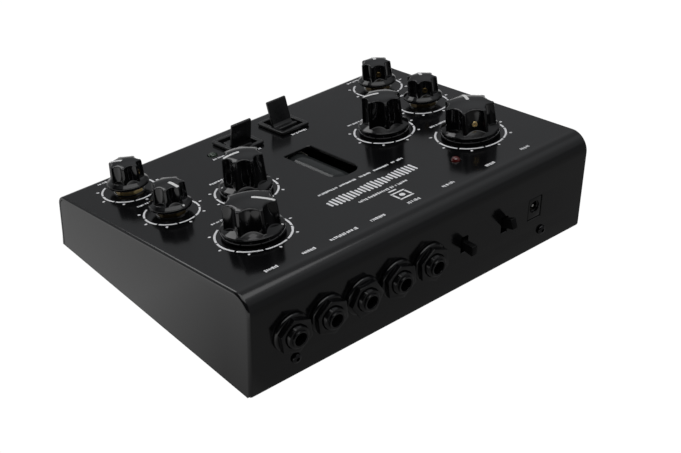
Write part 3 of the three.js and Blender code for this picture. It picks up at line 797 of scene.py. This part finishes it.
def other_labels():
    labels = []
    for i, (x, length) in enumerate(REAR_LABELS):
        labels += small_print(x - length / 2, x + length / 2, REAR_LABEL_S - 1.3,
                              REAR_LABEL_S + 1.3, seed=50 + i)
    # behind the paddle switches, and one more near the front edge
    for side, (x, s) in SWITCHES.items():
        labels += small_print(x - 5.0, x + 5.6, s + 13.3, s + 15.3, seed=80 + len(side))
        if side == "right":
            labels += small_print(28.6, 35.8, -53.9, -51.9, seed=91)
    return labels


def meter_graphic():
    """row of bars of varying height with small print and a framed dot, mid panel"""
    shapes = []
    for k in range(25):
        x = -27.5 + 2.35 * k
        t = (x + 28.0) / 60
        half = 2.4 + 1.4 * abs(math.sin(t * 9.4 + 0.4)) + 0.8 * abs(math.sin(t * 29 + 1))
        shapes.append(bar(x, x + 1.3, 38.9 - half, 38.9 + half, 0.6))
    for x0, x1 in ((14.5, 27.5), (2.0, 13.0), (-8.0, 0.0), (-20.5, -10.5), (-25.0, -22.0),
                   (-30.5, -26.5)):
        shapes += small_print(x0, x1, 25.5, 27.5, seed=3 + int(x0 + 40), gap=0.22)
    shapes += small_print(-14, 18.5, 47.2, 49.8, seed=4, gap=0.5)
    # square of four strokes (x0, x1, s0, s1) around a dot, with a stroke in front
    for stroke in ((-6.0, 3.0, 54.4, 55.5), (-6.0, 3.0, 61.9, 63.0),
                   (-6.0, -4.9, 56.0, 61.4), (1.9, 3.0, 56.0, 61.4)):
        shapes.append(bar(*stroke, 0.3))
    shapes.append(prism(circle(1.6, 24, -1.5, 58.7), INK_LOW, INK_TOP))
    shapes.append(bar(-3.4, 1.6, 51.2, 52.4, 0.3))
    return shapes


ring_shapes, tick_shapes, captions = knob_scales()
for name, shapes in (("print_rings", ring_shapes), ("print_ticks", tick_shapes),
                     ("print_labels", captions + other_labels()),
                     ("print_meter", meter_graphic())):
    make(name, merge(shapes), MATS["ink"], matrix=PANEL, smooth=False, slot="case_paint")

# ---------------------------------------------------------------- knobs
FLUTES = 7
PITCH = 2 * pi / FLUTES
RIM_R = 0.35                          # rounding of the skirt edges
POINTER_W = 1.8


def smooth_min(a, b, k):
    h = max(0.0, min(1.0, 0.5 + 0.5 * (b - a) / k))
    return b + (a - b) * h - k * h * (1 - h)


def smooth_max(a, b, k):
    return -smooth_min(-a, -b, k)


def barrel_radius(knob, z):
    t = max(0.0, min(1.0, (z - knob.skirt_top) / (knob.top - knob.skirt_top)))
    return knob.base_r + (knob.top_r - knob.base_r) * (0.75 * t + 0.25 * t * t)


def scoop_radius(knob, z, phi):
    """radius of the flute wall at angle phi from the flute's middle, huge outside it"""
    barrel = barrel_radius(knob, z)
    floor_r = barrel - knob.flute
    chord = barrel * math.cos(pi / FLUTES - math.radians(knob.rib))
    centre = (barrel * barrel - floor_r * floor_r) / (2 * (chord - floor_r))
    scoop = centre - floor_r
    y = centre * math.sin(phi)
    if abs(y) >= scoop:
        return 99.0
    return centre * math.cos(phi) - math.sqrt(scoop * scoop - y * y)


def cone_radius(knob, z):
    first = 0 if z <= knob.cone[1][1] else 1
    (ra, za), (rb, zb) = knob.cone[first:first + 2]
    return ra + (z - za) * (rb - ra) / (zb - za)


def knob_radius(knob, r, z, theta):
    """radius at an angle from the pointer rib; r is None on the barrel"""
    plain = barrel_radius(knob, z) if r is None else r
    phi = ((theta / PITCH) % 1.0 - 0.5) * PITCH
    fluted = smooth_min(plain, scoop_radius(knob, z, phi), 0.22)
    if z < knob.cone[-1][1] + 1.5:
        return smooth_max(fluted, cone_radius(knob, z), 0.3)
    return fluted


def knob_profile(knob):
    """(r, z) points of the round underside and skirt, then of the fluted part above"""
    bore, ceiling, low, skirt = knob.bore, knob.ceiling, knob.bottom, knob.skirt
    rim = knob.skirt_top - 0.25
    plain = [(0.0, ceiling), (bore * 0.5, ceiling), (bore - 0.3, ceiling),
             (bore, ceiling - 0.3), (bore, low + 0.3), (bore + 0.3, low),
             (skirt - 1.6, low), (skirt - RIM_R, low)]
    for t in map(math.radians, (22.5, 45, 67.5, 90)):
        plain.append((skirt - RIM_R + RIM_R * math.sin(t), low + RIM_R - RIM_R * math.cos(t)))
    plain.append((skirt, (low + rim) / 2))
    for t in map(math.radians, (0, 30, 60, 90)):
        plain.append((skirt - RIM_R + RIM_R * math.cos(t), rim - RIM_R + RIM_R * math.sin(t)))
    fluted = [knob.cone[0]]
    cone_top = knob.cone[-1][1]
    heights = list(np.linspace(knob.cone[0][1] + 0.08, cone_top + 1.6, 30))
    heights += list(np.linspace(cone_top + 2.2, knob.top, 9))
    fluted += [(None, z) for z in heights]
    # rounded shoulder into a shallow spherical crown
    for k in range(1, 7):
        t = k / 7.0 * pi / 2
        fluted.append((knob.crown_r + (knob.top_r - knob.crown_r) * math.cos(t),
                       knob.top + (knob.crown_z - knob.top) * math.sin(t)))
    rise = knob.crown_top - knob.crown_z
    sphere = (knob.crown_r * knob.crown_r + rise * rise) / (2 * rise)
    for k in range(13):
        r = knob.crown_r * (1 - k / 12.0)
        fluted.append((r, knob.crown_top - sphere + math.sqrt(sphere * sphere - r * r)))
    return plain, fluted


def knob_angles():
    """angles around the knob, crowded where a rib meets a flute"""
    edge = math.radians(3.6) / PITCH
    half = [0] + [f * edge for f in (0.35, 0.65, 0.85, 1, 1.15, 1.35, 1.65)]
    half += list(np.linspace(2.1 * edge, 0.5, 9))
    full = half + [1 - h for h in half[::-1][1:-1]]
    return [(i + q) * PITCH for i in range(FLUTES) for q in full]


def knob_shape(knob):
    angles = knob_angles()
    n = len(angles)
    plain, fluted = knob_profile(knob)
    verts, rows = [], []
    for points, is_fluted in ((plain, False), (fluted, True)):
        for r_point, z in points:
            if r_point is not None and r_point < 1e-5:
                rows.append([len(verts)] * n)
                verts.append((0, 0, z))
                continue
            rows.append(list(range(len(verts), len(verts) + n)))
            for theta in angles:
                r = knob_radius(knob, r_point, z, theta) if is_fluted else r_point
                verts.append((r * math.sin(theta), r * math.cos(theta), z))
    return verts, skin(rows)


def pointer_shape(knob):
    """inlaid line across the crown towards +Y, and a dot on the cone of the skirt"""
    crown = sorted(p for p in knob_profile(knob)[1] if p[0] is not None
                   and p[1] > knob.top + 0.01)
    crown_rs, crown_zs = zip(*crown)
    inner, outer, steps = 1.2, knob.crown_r + 0.1, 17
    path = []
    for k in range(steps + 1):
        r = inner + (outer - inner) * k / steps
        path.append((r, float(np.interp(r, crown_rs, crown_zs))))
    verts = []
    for i, (r, z) in enumerate(path):
        before, after = path[max(0, i - 1)], path[min(steps, i + 1)]
        along = Vector((after[0] - before[0], after[1] - before[1])).normalized()
        width = POINTER_W if 0 < i < steps else POINTER_W * 0.55
        for side in (-1, 1):
            for lift in (-0.08, 0.05):
                verts.append((side * width / 2, r - along.y * lift, z + along.x * lift))
    line = (verts, band_faces(steps + 1))
    (ra, za), (rb, zb) = knob.cone[:2]
    height = za + (ra - knob.mark) * (zb - za) / (ra - rb)
    slope = math.atan2(ra - rb, zb - za)
    dot = moved(prism(circle(0.62, 20), -0.06, 0.05),
                Matrix.Translation((0, knob.mark, height))
                @ Matrix.Rotation(-(pi / 2 - slope), 4, "X"))
    return merge([line, dot])


def set_screw_shape(knob):
    """round screw with a round recess, in the flute across from the pointer"""
    profile = [(0, -1.2), (1.6, -1.2), (1.6, 0.2), (1.45, 0.36), (0.75, 0.36), (0.6, 0.05),
               (0, 0.05)]
    wall = scoop_radius(knob, knob.screw, 0.0)
    return moved(lathe(profile, 24), Matrix.Translation((0, -wall, knob.screw))
                 @ Matrix.Rotation(pi / 2, 4, "X"))


KNOB_SHAPES = {size: (knob_shape(knob), pointer_shape(knob), set_screw_shape(knob))
               for size, knob in KNOBS.items()}


def knob_pieces(control, size):
    turn = Matrix.Rotation(-math.radians(middle_deg(f"turn_{control}")), 4, "Z")
    at = dict(matrix=control_frame(control) @ turn, body=f"{control}_control")
    body, pointer, screw = KNOB_SHAPES[size]
    make(f"knobskin_{control}", body, MATS["knob"], sharp=None, replaces=f"knob_{control}",
         slot="knob_plastic", **at)
    make(f"pointer_{control}", pointer, MATS["inlay"], sharp=30, slot="knob_plastic", **at)
    # set screws of the smaller knobs take the darker brass copy, painted shade
    make(f"setscrew_{control}", screw, MATS["brass" if size == "large" else "brass_shaded"],
         sharp=30, slot="brass", **at)


for control, size in CONTROLS.items():
    knob_pieces(control, size)


# ---------------------------------------------------------------- small-control hardware
def control_hardware(control):
    """nut, washer and threaded bushing around a small control's shaft"""
    matrix = control_frame(control)
    # nuts other than right_front take the darker brass copy, painted shade under the skirts
    nut = make(f"nut_{control}", prism(hexagon(12.4, turn=0.3), 0.62, 2.5),
               MATS["brass" if control == "right_front" else "brass_shaded"],
               body=None, matrix=matrix)
    chamfer = [(0, 0.5), (6.4, 0.5), (7.2, 0.95), (7.2, 2.1), (6.2, 2.6), (0, 2.6)]
    bore = [(0, 0.1), (5.1, 0.1), (4.75, 0.7), (4.75, 2.3), (5.1, 3.0), (0, 3.0)]
    carve(nut, lathe(chamfer, 48), matrix, "INTERSECT")
    carve(nut, lathe(bore, 40), matrix)
    finish(nut, "case", f"pot_nut_{control}", sharp=25)

    washer = [(5.2, 0.05), (7.9, 0.05), (8.0, 0.15), (8.0, 0.5), (7.9, 0.58), (5.2, 0.58)]
    make(f"washer_{control}", lathe(washer, 56), MATS["nickel"], matrix=matrix, slot="steel")

    thread = [(3.45, -1.0), (4.5, -1.0)]
    for k in range(9):
        z = -1.0 + 0.48 * k
        thread += [(4.62, z + 0.12), (4.38, z + 0.36)]
    thread += [(4.4, 3.2), (4.2, 3.4), (3.45, 3.4)]
    make(f"bushing_{control}", lathe(thread, 40), MATS["nickel"], matrix=matrix, sharp=60,
         slot="steel")


for control, size in CONTROLS.items():
    if size == "small":
        control_hardware(control)

# ---------------------------------------------------------------- rear jacks
JACK_TURNS = (0.68, 0.66, 0.05, 0.66, 0.63)       # how far each hex nut is turned, radians
COLLAR = [(6.35, 0.12), (10.3, 0.12), (10.68, 0.3), (10.75, 0.6), (10.7, 1.1), (10.45, 1.55),
          (10.0, 1.95), (9.4, 2.15), (8.6, 2.2), (6.35, 2.2)]
JACK_CHAMFER = [(0, 2.1), (10.3, 2.1), (10.3, 4.75), (9.95, 5.1), (0, 5.1)]
JACK_BORE = [(0, 1.5), (6.2, 1.5), (6.2, 4.6), (6.8, 5.3), (0, 5.3)]


def jack_hex(i, matrix):
    nut = make(f"jack_hex_{i}", prism(hexagon(17.7, JACK_TURNS[i - 1]), 2.2, 5.0),
               MATS["black"], body=None, matrix=matrix)
    carve(nut, lathe(JACK_CHAMFER, 72), matrix, "INTERSECT")
    carve(nut, lathe(JACK_BORE, 56), matrix)
    round_edges(nut, 0.18, 2, 30)
    finish(nut, "case", f"jack_nut_{i}")


def jack_bushing(i, matrix):
    """threaded tube with a rounded inner sleeve around the plug hole"""
    profile = [(3.4, -20.0), (3.4, 7.3), (3.55, 7.7), (4.05, 8.0), (4.45, 8.0), (4.7, 7.85),
               (4.75, 7.5), (4.75, 6.9), (5.2, 6.8), (5.55, 6.75)]
    for k in range(10):
        z = 6.6 - 0.8 * k
        profile += [(5.92, z), (5.62, z - 0.4)]
    profile += [(5.9, -1.6), (5.9, -1.8), (8.0, -1.8), (8.0, -20.0)]
    make(f"jack_bushing_{i}", lathe(profile, 64), MATS["black"], matrix=matrix, sharp=35,
         slot="black_plastic")


def jack_shell(i, z, matrix):
    """box behind the wall"""
    low, high = box_mm(f"jack_{i}")
    shell = make(f"jack_shell_{i}",
                 cuboid(low.x, high.x, low.y, Y1 - 4.2, z - 9.4, z + 9.4), MATS["black"])
    carve(shell, lathe([(0, -30), (6.4, -30), (6.4, 5), (0, 5)], 40), matrix)
    round_edges(shell, 0.5)
    finish(shell, "case", f"jack_{i}")


def jack_spring(i, matrix):
    """bright curved leaf along the upper side of the bore, narrower at its inner end"""
    sections = 13
    verts = []
    for k in range(sections):
        a = math.radians(-150 + 8 * k)
        x, y = 3.15 * math.cos(a), 3.15 * math.sin(a)
        for wall in (1.0, 0.86):
            for z, taper in ((1.5, 0.84), (5.6, 1.0)):
                verts.append((x * wall * taper, y * wall * taper, z))
    # inner and outer sides are listed last
    sides = BAND_SIDES[2:] + BAND_SIDES[1::-1]
    make(f"jack_spring_{i}", (verts, band_faces(sections, sides)), MATS["contact"],
         matrix=matrix, sharp=50, slot="steel")


for i in range(1, 6):
    x, z = centre_xz(f"jack_nut_{i}")
    matrix = rear_at(x, z)
    make(f"jack_collar_{i}", lathe(COLLAR, 72), MATS["black"], matrix=matrix, sharp=50,
         slot="black_plastic")
    jack_hex(i, matrix)
    jack_bushing(i, matrix)
    jack_shell(i, z, matrix)
    jack_spring(i, matrix)

# ---------------------------------------------------------------- paddle switches
PADDLE_TILT = {"right": -12.7, "left": 12.7}      # degrees from the panel normal
PADDLE_HALF_W = 6.5
# side view of a paddle about its pivot: along the slope, out of the panel, fillet radius
PADDLE = [
    (-1.8, -2.2, 0.8), (1.8, -2.2, 0.8), (2.4, 5.4, 0.4), (6.4, 5.6, 0.4), (6.4, 8.8, 0.7),
    (1.7, 8.8, 0.6), (1.0, 10.6, 1.2), (0.95, 23.7, 0.85), (-0.95, 23.7, 0.85),
    (-1.0, 10.6, 1.2), (-1.7, 8.8, 0.6), (-7.4, 8.8, 0.7), (-7.4, 5.6, 0.4), (-2.4, 5.4, 0.4)]


def bezel(side):
    """frame on the panel joined to a box below it, open through the middle"""
    matrix = panel_at(*SWITCHES[side])
    o = make(f"bezel_{side}", prism(rrect(-9.85, 9.7, -11.75, 11.7, 1.3, 5), 0.25, 2.1),
             MATS["switch"], matrix=matrix)
    carve(o, prism(rrect(-8.2, 8.2, -10.2, 10.2, 0.6, 3), -16.5, 1.2), matrix, "UNION")
    carve(o, prism(rrect(-7.2, 7.2, -9.2, 9.2, 0.8, 4), -15, 6), matrix)
    round_edges(o, 0.75, 4, 50)
    finish(o, "case", f"switch_body_{side}")


def paddle(side):
    tilt = Matrix.Rotation(SLOPE + math.radians(PADDLE_TILT[side]), 4, "X")
    shape = moved(prism(outline(PADDLE, 5), -PADDLE_HALF_W, PADDLE_HALF_W), ALONG_X)
    o = make(f"paddleskin_{side}", shape, MATS["switch"], body=None,
             matrix=Matrix.Translation(joint_mm(f"rock_{side}_paddle")) @ tilt)
    round_edges(o, 0.5, 3, 60)
    finish(o, f"{side}_paddle", f"paddle_{side}")


for side in SIDES:
    bezel(side)
    paddle(side)

# ---------------------------------------------------------------- rear lever switches
# side view of a lever about its pivot: outwards, up, fillet radius
LEVER = [(-2.4, -2.3, 1.6), (6.0, -2.5, 3), (11.6, -3.0, 0.7), (11.6, 3.0, 0.7),
         (6.0, 2.5, 3), (-2.4, 2.3, 1.6)]
LEVER_HALF_W = 1.75


def lever(side):
    joint = f"flip_{side}_lever"
    tilt = Matrix.Rotation(-math.radians(middle_deg(joint)), 4, "X")
    shape = moved(prism(outline(LEVER, 5), -LEVER_HALF_W, LEVER_HALF_W), ALONG_X)
    o = make(f"leverskin_{side}", shape, MATS["lever"], body=None,
             matrix=Matrix.Translation(joint_mm(joint)) @ tilt)
    round_edges(o, 0.35, 3, 50)
    finish(o, f"{side}_lever", f"lever_{side}")


for side in SIDES:
    lever(side)

# ---------------------------------------------------------------- DC inlet
DC_HOLE_Z = 28.9
DC_HOLE = [(0, -9.5), (2.9, -9.5), (2.9, -1.4), (3.4, -1.0), (3.4, -0.3), (3.9, 0.2),
           (3.9, 1), (0, 1)]
DC_PIN = [(0, -9.8), (1.0, -9.8), (1.0, -1.8), (0.85, -1.35), (0.5, -1.15), (0, -1.1)]


def dc_inlet():
    """block with a stepped hole, a centre pin and a contact leaf below the pin"""
    low, high = box_mm("dc_jack")
    matrix = rear_at((low.x + high.x) / 2, DC_HOLE_Z, high.y)
    block = make("dc_inlet", cuboid(low.x, high.x, low.y, high.y, low.z, high.z),
                 MATS["black"])
    round_edges(block, 0.35)
    carve(block, lathe(DC_HOLE, 48), matrix)
    finish(block, "case", "dc_jack")
    make("dc_pin", lathe(DC_PIN, 32), MATS["nickel"], matrix=matrix, slot="steel")
    leaf = moved(cuboid(-0.9, 0.9, -0.12, 0.12, -8.0, -2.2), Matrix.Translation((0, 2.45, 0)))
    make("dc_spring", leaf, MATS["contact"], matrix=matrix, slot="steel")


dc_inlet()


# ---------------------------------------------------------------- rear screws
def button_screw(side):
    """domed screw head with a hexagon socket"""
    matrix = rear_at(*centre_xz(f"rear_screw_{side}"))
    profile = [(0, -9.5), (1.45, -9.5), (1.45, 0.25), (2.6, 0.25), (2.75, 0.4), (2.75, 0.75)]
    profile += crown_points(radius=2.75, base=0.75, height=1.1, steps=8)
    screw = make(f"button_screw_{side}", lathe(profile, 48), MATS["screw"], matrix=matrix,
                 body=None)
    carve(screw, prism(hexagon(2.0, turn=0.2), 0.7, 3), matrix)
    finish(screw, "case", f"rear_screw_{side}")


for side in SIDES:
    button_screw(side)


# ---------------------------------------------------------------- lamps
def lamp(colour, top):
    """domed lens rising to a height above the panel, with a small metal cup inside"""
    node = f"led_{colour}"
    c = panel_centre(node)
    matrix = panel_at(c.x, c.y)
    base = -0.2
    lens = [(0, -6.5), (2.4, -6.5), (2.45, -6.3), (2.45, base)]
    lens += crown_points(radius=2.45, base=base, height=top - base, steps=10)
    make(f"{node}_lens", lathe(lens, 48), MATS[colour], matrix=matrix, sharp=50,
         replaces=node, slot=f"{colour}_lens")
    cup = [(0, -4.4), (0.5, -4.4), (1.1, -3.2), (1.0, -3.1), (0.4, -4.0), (0, -4.0)]
    make(f"{node}_die", lathe(cup, 24), MATS["nickel"], matrix=matrix, slot="steel")


lamp("red", top=2.05)
lamp("clear", top=1.2)

# ---------------------------------------------------------------- valve
# Its axis runs up the slope, closed base to the front and pointed tip to the rear.
TUBE_S, TUBE_H = -31.5, -13.2                     # panel place of the base
VALVE = (PANEL @ Matrix.Translation((TUBE_X, TUBE_S, TUBE_H))
         @ Matrix.Rotation(-pi / 2, 4, "X"))
# envelope walls as (r, z)
GLASS_OUTER = [
    (0, 0.0), (8.2, 0.0), (9.4, 0.6), (10.1, 1.8), (10.4, 3.6), (10.5, 6),
    *[(10.5, z) for z in range(9, 40, 3)],
    (10.35, 40.6), (9.9, 42.4), (9.1, 44.0), (7.8, 45.4), (6.0, 46.4), (4.0, 46.95),
    (2.6, 47.2), (1.8, 47.8), (1.35, 48.6), (0.9, 49.6), (0.45, 50.1), (0, 50.2)]
GLASS_INNER = [
    (0, 46.2), (3.6, 46.0), (5.6, 45.4), (7.1, 44.5), (8.4, 43.2), (9.1, 41.8), (9.5, 40.2),
    (9.6, 38), *[(9.6, z) for z in range(35, 5, -3)],
    (9.5, 4), (9.2, 2.6), (8.4, 1.6), (0, 1.5)]
# thin mirror lining the rear end of the envelope, (r, z)
GETTER_MIRROR = [
    (0, 46.05), (3.6, 45.85), (5.6, 45.2), (7.0, 44.3), (8.25, 43.05), (8.95, 41.7),
    (9.35, 40.1), (9.45, 37.6), (9.38, 37.6), (9.26, 40.0), (8.86, 41.6), (8.15, 42.9),
    (6.9, 44.15), (5.5, 45.05), (3.6, 45.7), (0, 45.9)]
RODS = ((-7.0, 0), (7.0, 0), (-1.0, 3.4), (1.0, -3.4), (-3.9, 4.4), (3.9, -4.4))    # x, y
PLATE_X = 3.9                                     # the two anode boxes sit at plus and minus


def valve_glass():
    outer, inner = lathe(GLASS_OUTER, 72), lathe(GLASS_INNER, 72)
    glass = make("valve_glass", merge([outer, inner]), MATS["glass"], matrix=VALVE, body=None,
                 sharp=None)
    # the inner wall faces the hollow
    bm = bmesh.new()
    bm.from_mesh(glass.data)
    inner_faces = [f for f in bm.faces if f.verts[0].index >= len(outer[0])]
    bmesh.ops.reverse_faces(bm, faces=inner_faces)
    bm.to_mesh(glass.data)
    bm.free()
    finish(glass, "case", "vacuum_tube", sharp=None)


def anode_plates():
    """two boxes side by side, each with a fin on both faces"""
    shapes = []
    for x in (-PLATE_X, PLATE_X):
        shapes.append(prism(rrect(x - 3.0, x + 3.0, -3.6, 3.6, 1.0, 4), 9.0, 30.0))
        for y in (-4.3, 4.3):
            fin = rrect(x - 0.5, x + 0.5, min(y, y * 0.8), max(y, y * 0.8), 0.1, 1)
            shapes.append(prism(fin, 9.5, 29.5))
    return merge(shapes)


def getter_ring(radius=4.6, wire=0.45, height=36.5, around=40, across=8):
    verts, faces = [], []
    for i in range(around):
        a = 2 * pi * i / around
        for j in range(across):
            b = 2 * pi * j / across
            r = radius + wire * math.cos(b)
            verts.append((r * math.cos(a), r * math.sin(a), height + wire * math.sin(b)))
            here, following = i * across, (i + 1) % around * across
            up = (j + 1) % across
            faces.append((here + j, following + j, following + up, here + up))
    return verts, faces


valve_glass()
make("valve_plates", anode_plates(), MATS["plate"], matrix=VALVE, sharp=30, slot="steel")
mica_discs = [prism(circle(8.9, 16, turn=0.2), z, z + 0.3) for z in (7.6, 31.0)]
make("valve_micas", merge(mica_discs), MATS["mica"], matrix=VALVE, sharp=30, slot="ceramic")
make("valve_rods", merge([prism(circle(0.4, 12, x, y), 2.0, 34.0) for x, y in RODS]),
     MATS["nickel"], matrix=VALVE, sharp=50, slot="steel")
make("valve_getter_ring", getter_ring(), MATS["nickel"], matrix=VALVE, sharp=60, slot="steel")
make("valve_getter_mirror", lathe(GETTER_MIRROR, 64), MATS["getter"], matrix=VALVE, sharp=60,
     slot="steel")

# ---------------------------------------------------------------- CAD pieces kept as they are
KEPT_MATS = {"base_tray": "tray", "main_board": "board", "tube_socket": "ceramic"}
KEPT_PREFIXES = {"pot_": "steel", "shaft_": "steel", "foot_": "rubber"}


def kept_material(name):
    if name in KEPT_MATS:
        return MATS[KEPT_MATS[name]]
    for prefix, key in KEPT_PREFIXES.items():
        if name.startswith(prefix):
            return MATS[key]
    return MATS["black"]


for name, o in frame["nodes"].items():
    if o.hide_render:
        continue
    if name.startswith("foot_"):
        weld = o.modifiers.new("w", "WELD")
        weld.merge_threshold = 2e-6
        add_bevel(o, 0.35, 3, 30)
    material = kept_material(name)
    if not o.data.materials:
        o.data.materials.append(material)
    for material_slot in o.material_slots:
        material_slot.material = material

# ---------------------------------------------------------------- floor
# The floor's glow is painted light and shade: painted shadow of the case behind it, a painted
# lit floor towards +X and in front.
FLOOR_HALF = 6
FLOOR_BACK = 0.16         # glow of the unlit floor
FLOOR_LIT = 1.15          # glow added where it is fully lit
FLOOR_FRONT_SHARE = 0.45  # how lit it is in front of the case


def floor_material():
    """white to the camera; to other rays a glow of painted light and shade, brightest towards +X
    and dim at the rear where painted shadow of the case lies
    """
    m = Mat("floor_painted_light")
    m.tree.nodes.remove(m.shader)
    position = m.node("ShaderNodeSeparateXYZ")
    m.link(m.node("ShaderNodeNewGeometry").outputs["Position"], position.inputs[0])
    x, y = position.outputs["X"], position.outputs["Y"]
    # painted light: full towards +X, less behind, a share of it in front; painted shade
    # everywhere else
    side = m.math("MULTIPLY", m.ramp(x, over=(0.10, 0.22), to=(0.0, 1.0)),
                  m.ramp(y, over=(-0.14, 0.01), to=(1.0, 0.66)))
    front = m.math("MULTIPLY", m.ramp(y, over=(-0.02, 0.08), to=(1.0, 0.0)),
                   FLOOR_FRONT_SHARE)
    lit = m.math("MAXIMUM", side, front)
    glow = m.node("ShaderNodeEmission")
    m.link(m.ramp(m.noise(scale=3), over=(0.3, 0.7), to=(0.97, 1.0)), glow.inputs["Color"])
    m.link(m.math("ADD", m.math("MULTIPLY", lit, FLOOR_LIT), FLOOR_BACK),
           glow.inputs["Strength"])
    white = m.node("ShaderNodeEmission")
    m.link(m.ramp(m.noise(scale=30), over=(0.3, 0.7), to=(0.995, 1.0)), white.inputs["Color"])
    white.inputs["Strength"].default_value = 1.02
    mixer = m.node("ShaderNodeMixShader")
    m.link(m.node("ShaderNodeLightPath").outputs["Is Camera Ray"], mixer.inputs[0])
    m.link(glow.outputs[0], mixer.inputs[1])
    m.link(white.outputs[0], mixer.inputs[2])
    m.link(mixer.outputs[0], m.tree.nodes["Material Output"].inputs["Surface"])
    return m.material


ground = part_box("foot_front_right")[0].z
floor_mesh = bpy.data.meshes.new("floor")
floor_mesh.from_pydata([(x * FLOOR_HALF, y * FLOOR_HALF, ground)
                        for x, y in ((-1, -1), (1, -1), (1, 1), (-1, 1))], [], [(0, 1, 2, 3)])
floor = bpy.data.objects.new("floor", floor_mesh)
bpy.context.scene.collection.objects.link(floor)
floor_mesh.materials.append(floor_material())

# ---------------------------------------------------------------- world
AMBIENT = 0.03
# soft round patches of light: direction, inner and outer angle in degrees, strength
LOBES = (
    ((-0.50, -0.80, 0.33), 8, 36, 0.20),
    ((0.30, -0.95, 0.10), 12, 34, 0.35),
    ((-0.35, -0.25, 0.90), 15, 55, 0.35),
    ((-0.55, 0.38, 0.74), 8, 34, 0.32),
    ((-0.50, 0.85, 0.12), 12, 42, 0.15),
)


def studio_world():
    world = bpy.data.worlds.new("studio")
    bpy.context.scene.world = world
    world.use_nodes = True
    nodes, links = world.node_tree.nodes, world.node_tree.links
    background = nodes["Background"]
    background.inputs["Color"].default_value = (0.95, 0.97, 1.0, 1)
    view = nodes.new("ShaderNodeTexCoord").outputs["Generated"]

    def lobe(direction, inner, outer, amount):
        dot = nodes.new("ShaderNodeVectorMath")
        dot.operation = "DOT_PRODUCT"
        links.new(view, dot.inputs[0])
        dot.inputs[1].default_value = Vector(direction).normalized()
        fade = nodes.new("ShaderNodeMapRange")
        fade.interpolation_type = "SMOOTHSTEP"
        fade.inputs["From Min"].default_value = math.cos(math.radians(outer))
        fade.inputs["From Max"].default_value = math.cos(math.radians(inner))
        fade.inputs["To Min"].default_value = 0.0
        fade.inputs["To Max"].default_value = amount
        links.new(dot.outputs["Value"], fade.inputs["Value"])
        return fade.outputs["Result"]

    def add(total):
        node = nodes.new("ShaderNodeMath")
        node.operation = "ADD"
        links.new(total, node.inputs[0])
        return node

    total, *others = [lobe(*row) for row in LOBES]
    for other in others:
        node = add(total)
        links.new(other, node.inputs[1])
        total = node.outputs[0]
    node = add(total)
    node.inputs[1].default_value = AMBIENT
    links.new(node.outputs[0], background.inputs["Strength"])


studio_world()

# ---------------------------------------------------------------- lights
LIGHT_TARGET = Vector((0, 0, 0.03))


def area_light(name, place, size_x, size_y, power):
    """rectangular light aimed at the case; metres and watts"""
    light = bpy.data.lights.new(name, "AREA")
    light.shape = "RECTANGLE"
    light.size = size_x
    light.size_y = size_y
    light.energy = power
    o = bpy.data.objects.new(name, light)
    bpy.context.scene.collection.objects.link(o)
    o.location = place
    o.rotation_euler = (LIGHT_TARGET - Vector(place)).to_track_quat("-Z", "Y").to_euler()


area_light("key_front", place=(0.05, -1.0, 0.85), size_x=0.6, size_y=0.45, power=2.0)
area_light("overhead", place=(0.12, 0.12, 1.2), size_x=1.2, size_y=1.2, power=6.5)

# ---------------------------------------------------------------- camera
CAMERA_PLACE = (433.786, 511.130, 470.438)        # mm
# directions of the camera's own X, Y and Z axes: right, up and backwards
CAMERA_AXES = ((-0.75044063, 0.66041971, 0.02616621),
               (-0.36034048, -0.44200448, 0.82145406),
               (0.55407003, 0.60702376, 0.56967408))

camera_data = bpy.data.cameras.new("camera")
camera = bpy.data.objects.new("camera", camera_data)
bpy.context.scene.collection.objects.link(camera)
camera_data.sensor_fit = "HORIZONTAL"
camera_data.sensor_width = 36.0
camera_data.lens = 78.9918238
camera_data.shift_x = -0.0426945668
camera_data.shift_y = 0.000152716593
camera_data.clip_start = 0.01
pose = Matrix([Vector(axis).normalized() for axis in CAMERA_AXES]).transposed().to_4x4()
pose.translation = Vector(CAMERA_PLACE) * MM
camera.matrix_world = pose
bpy.context.scene.camera = camera
bpy.context.scene.view_settings.view_transform = "Standard"
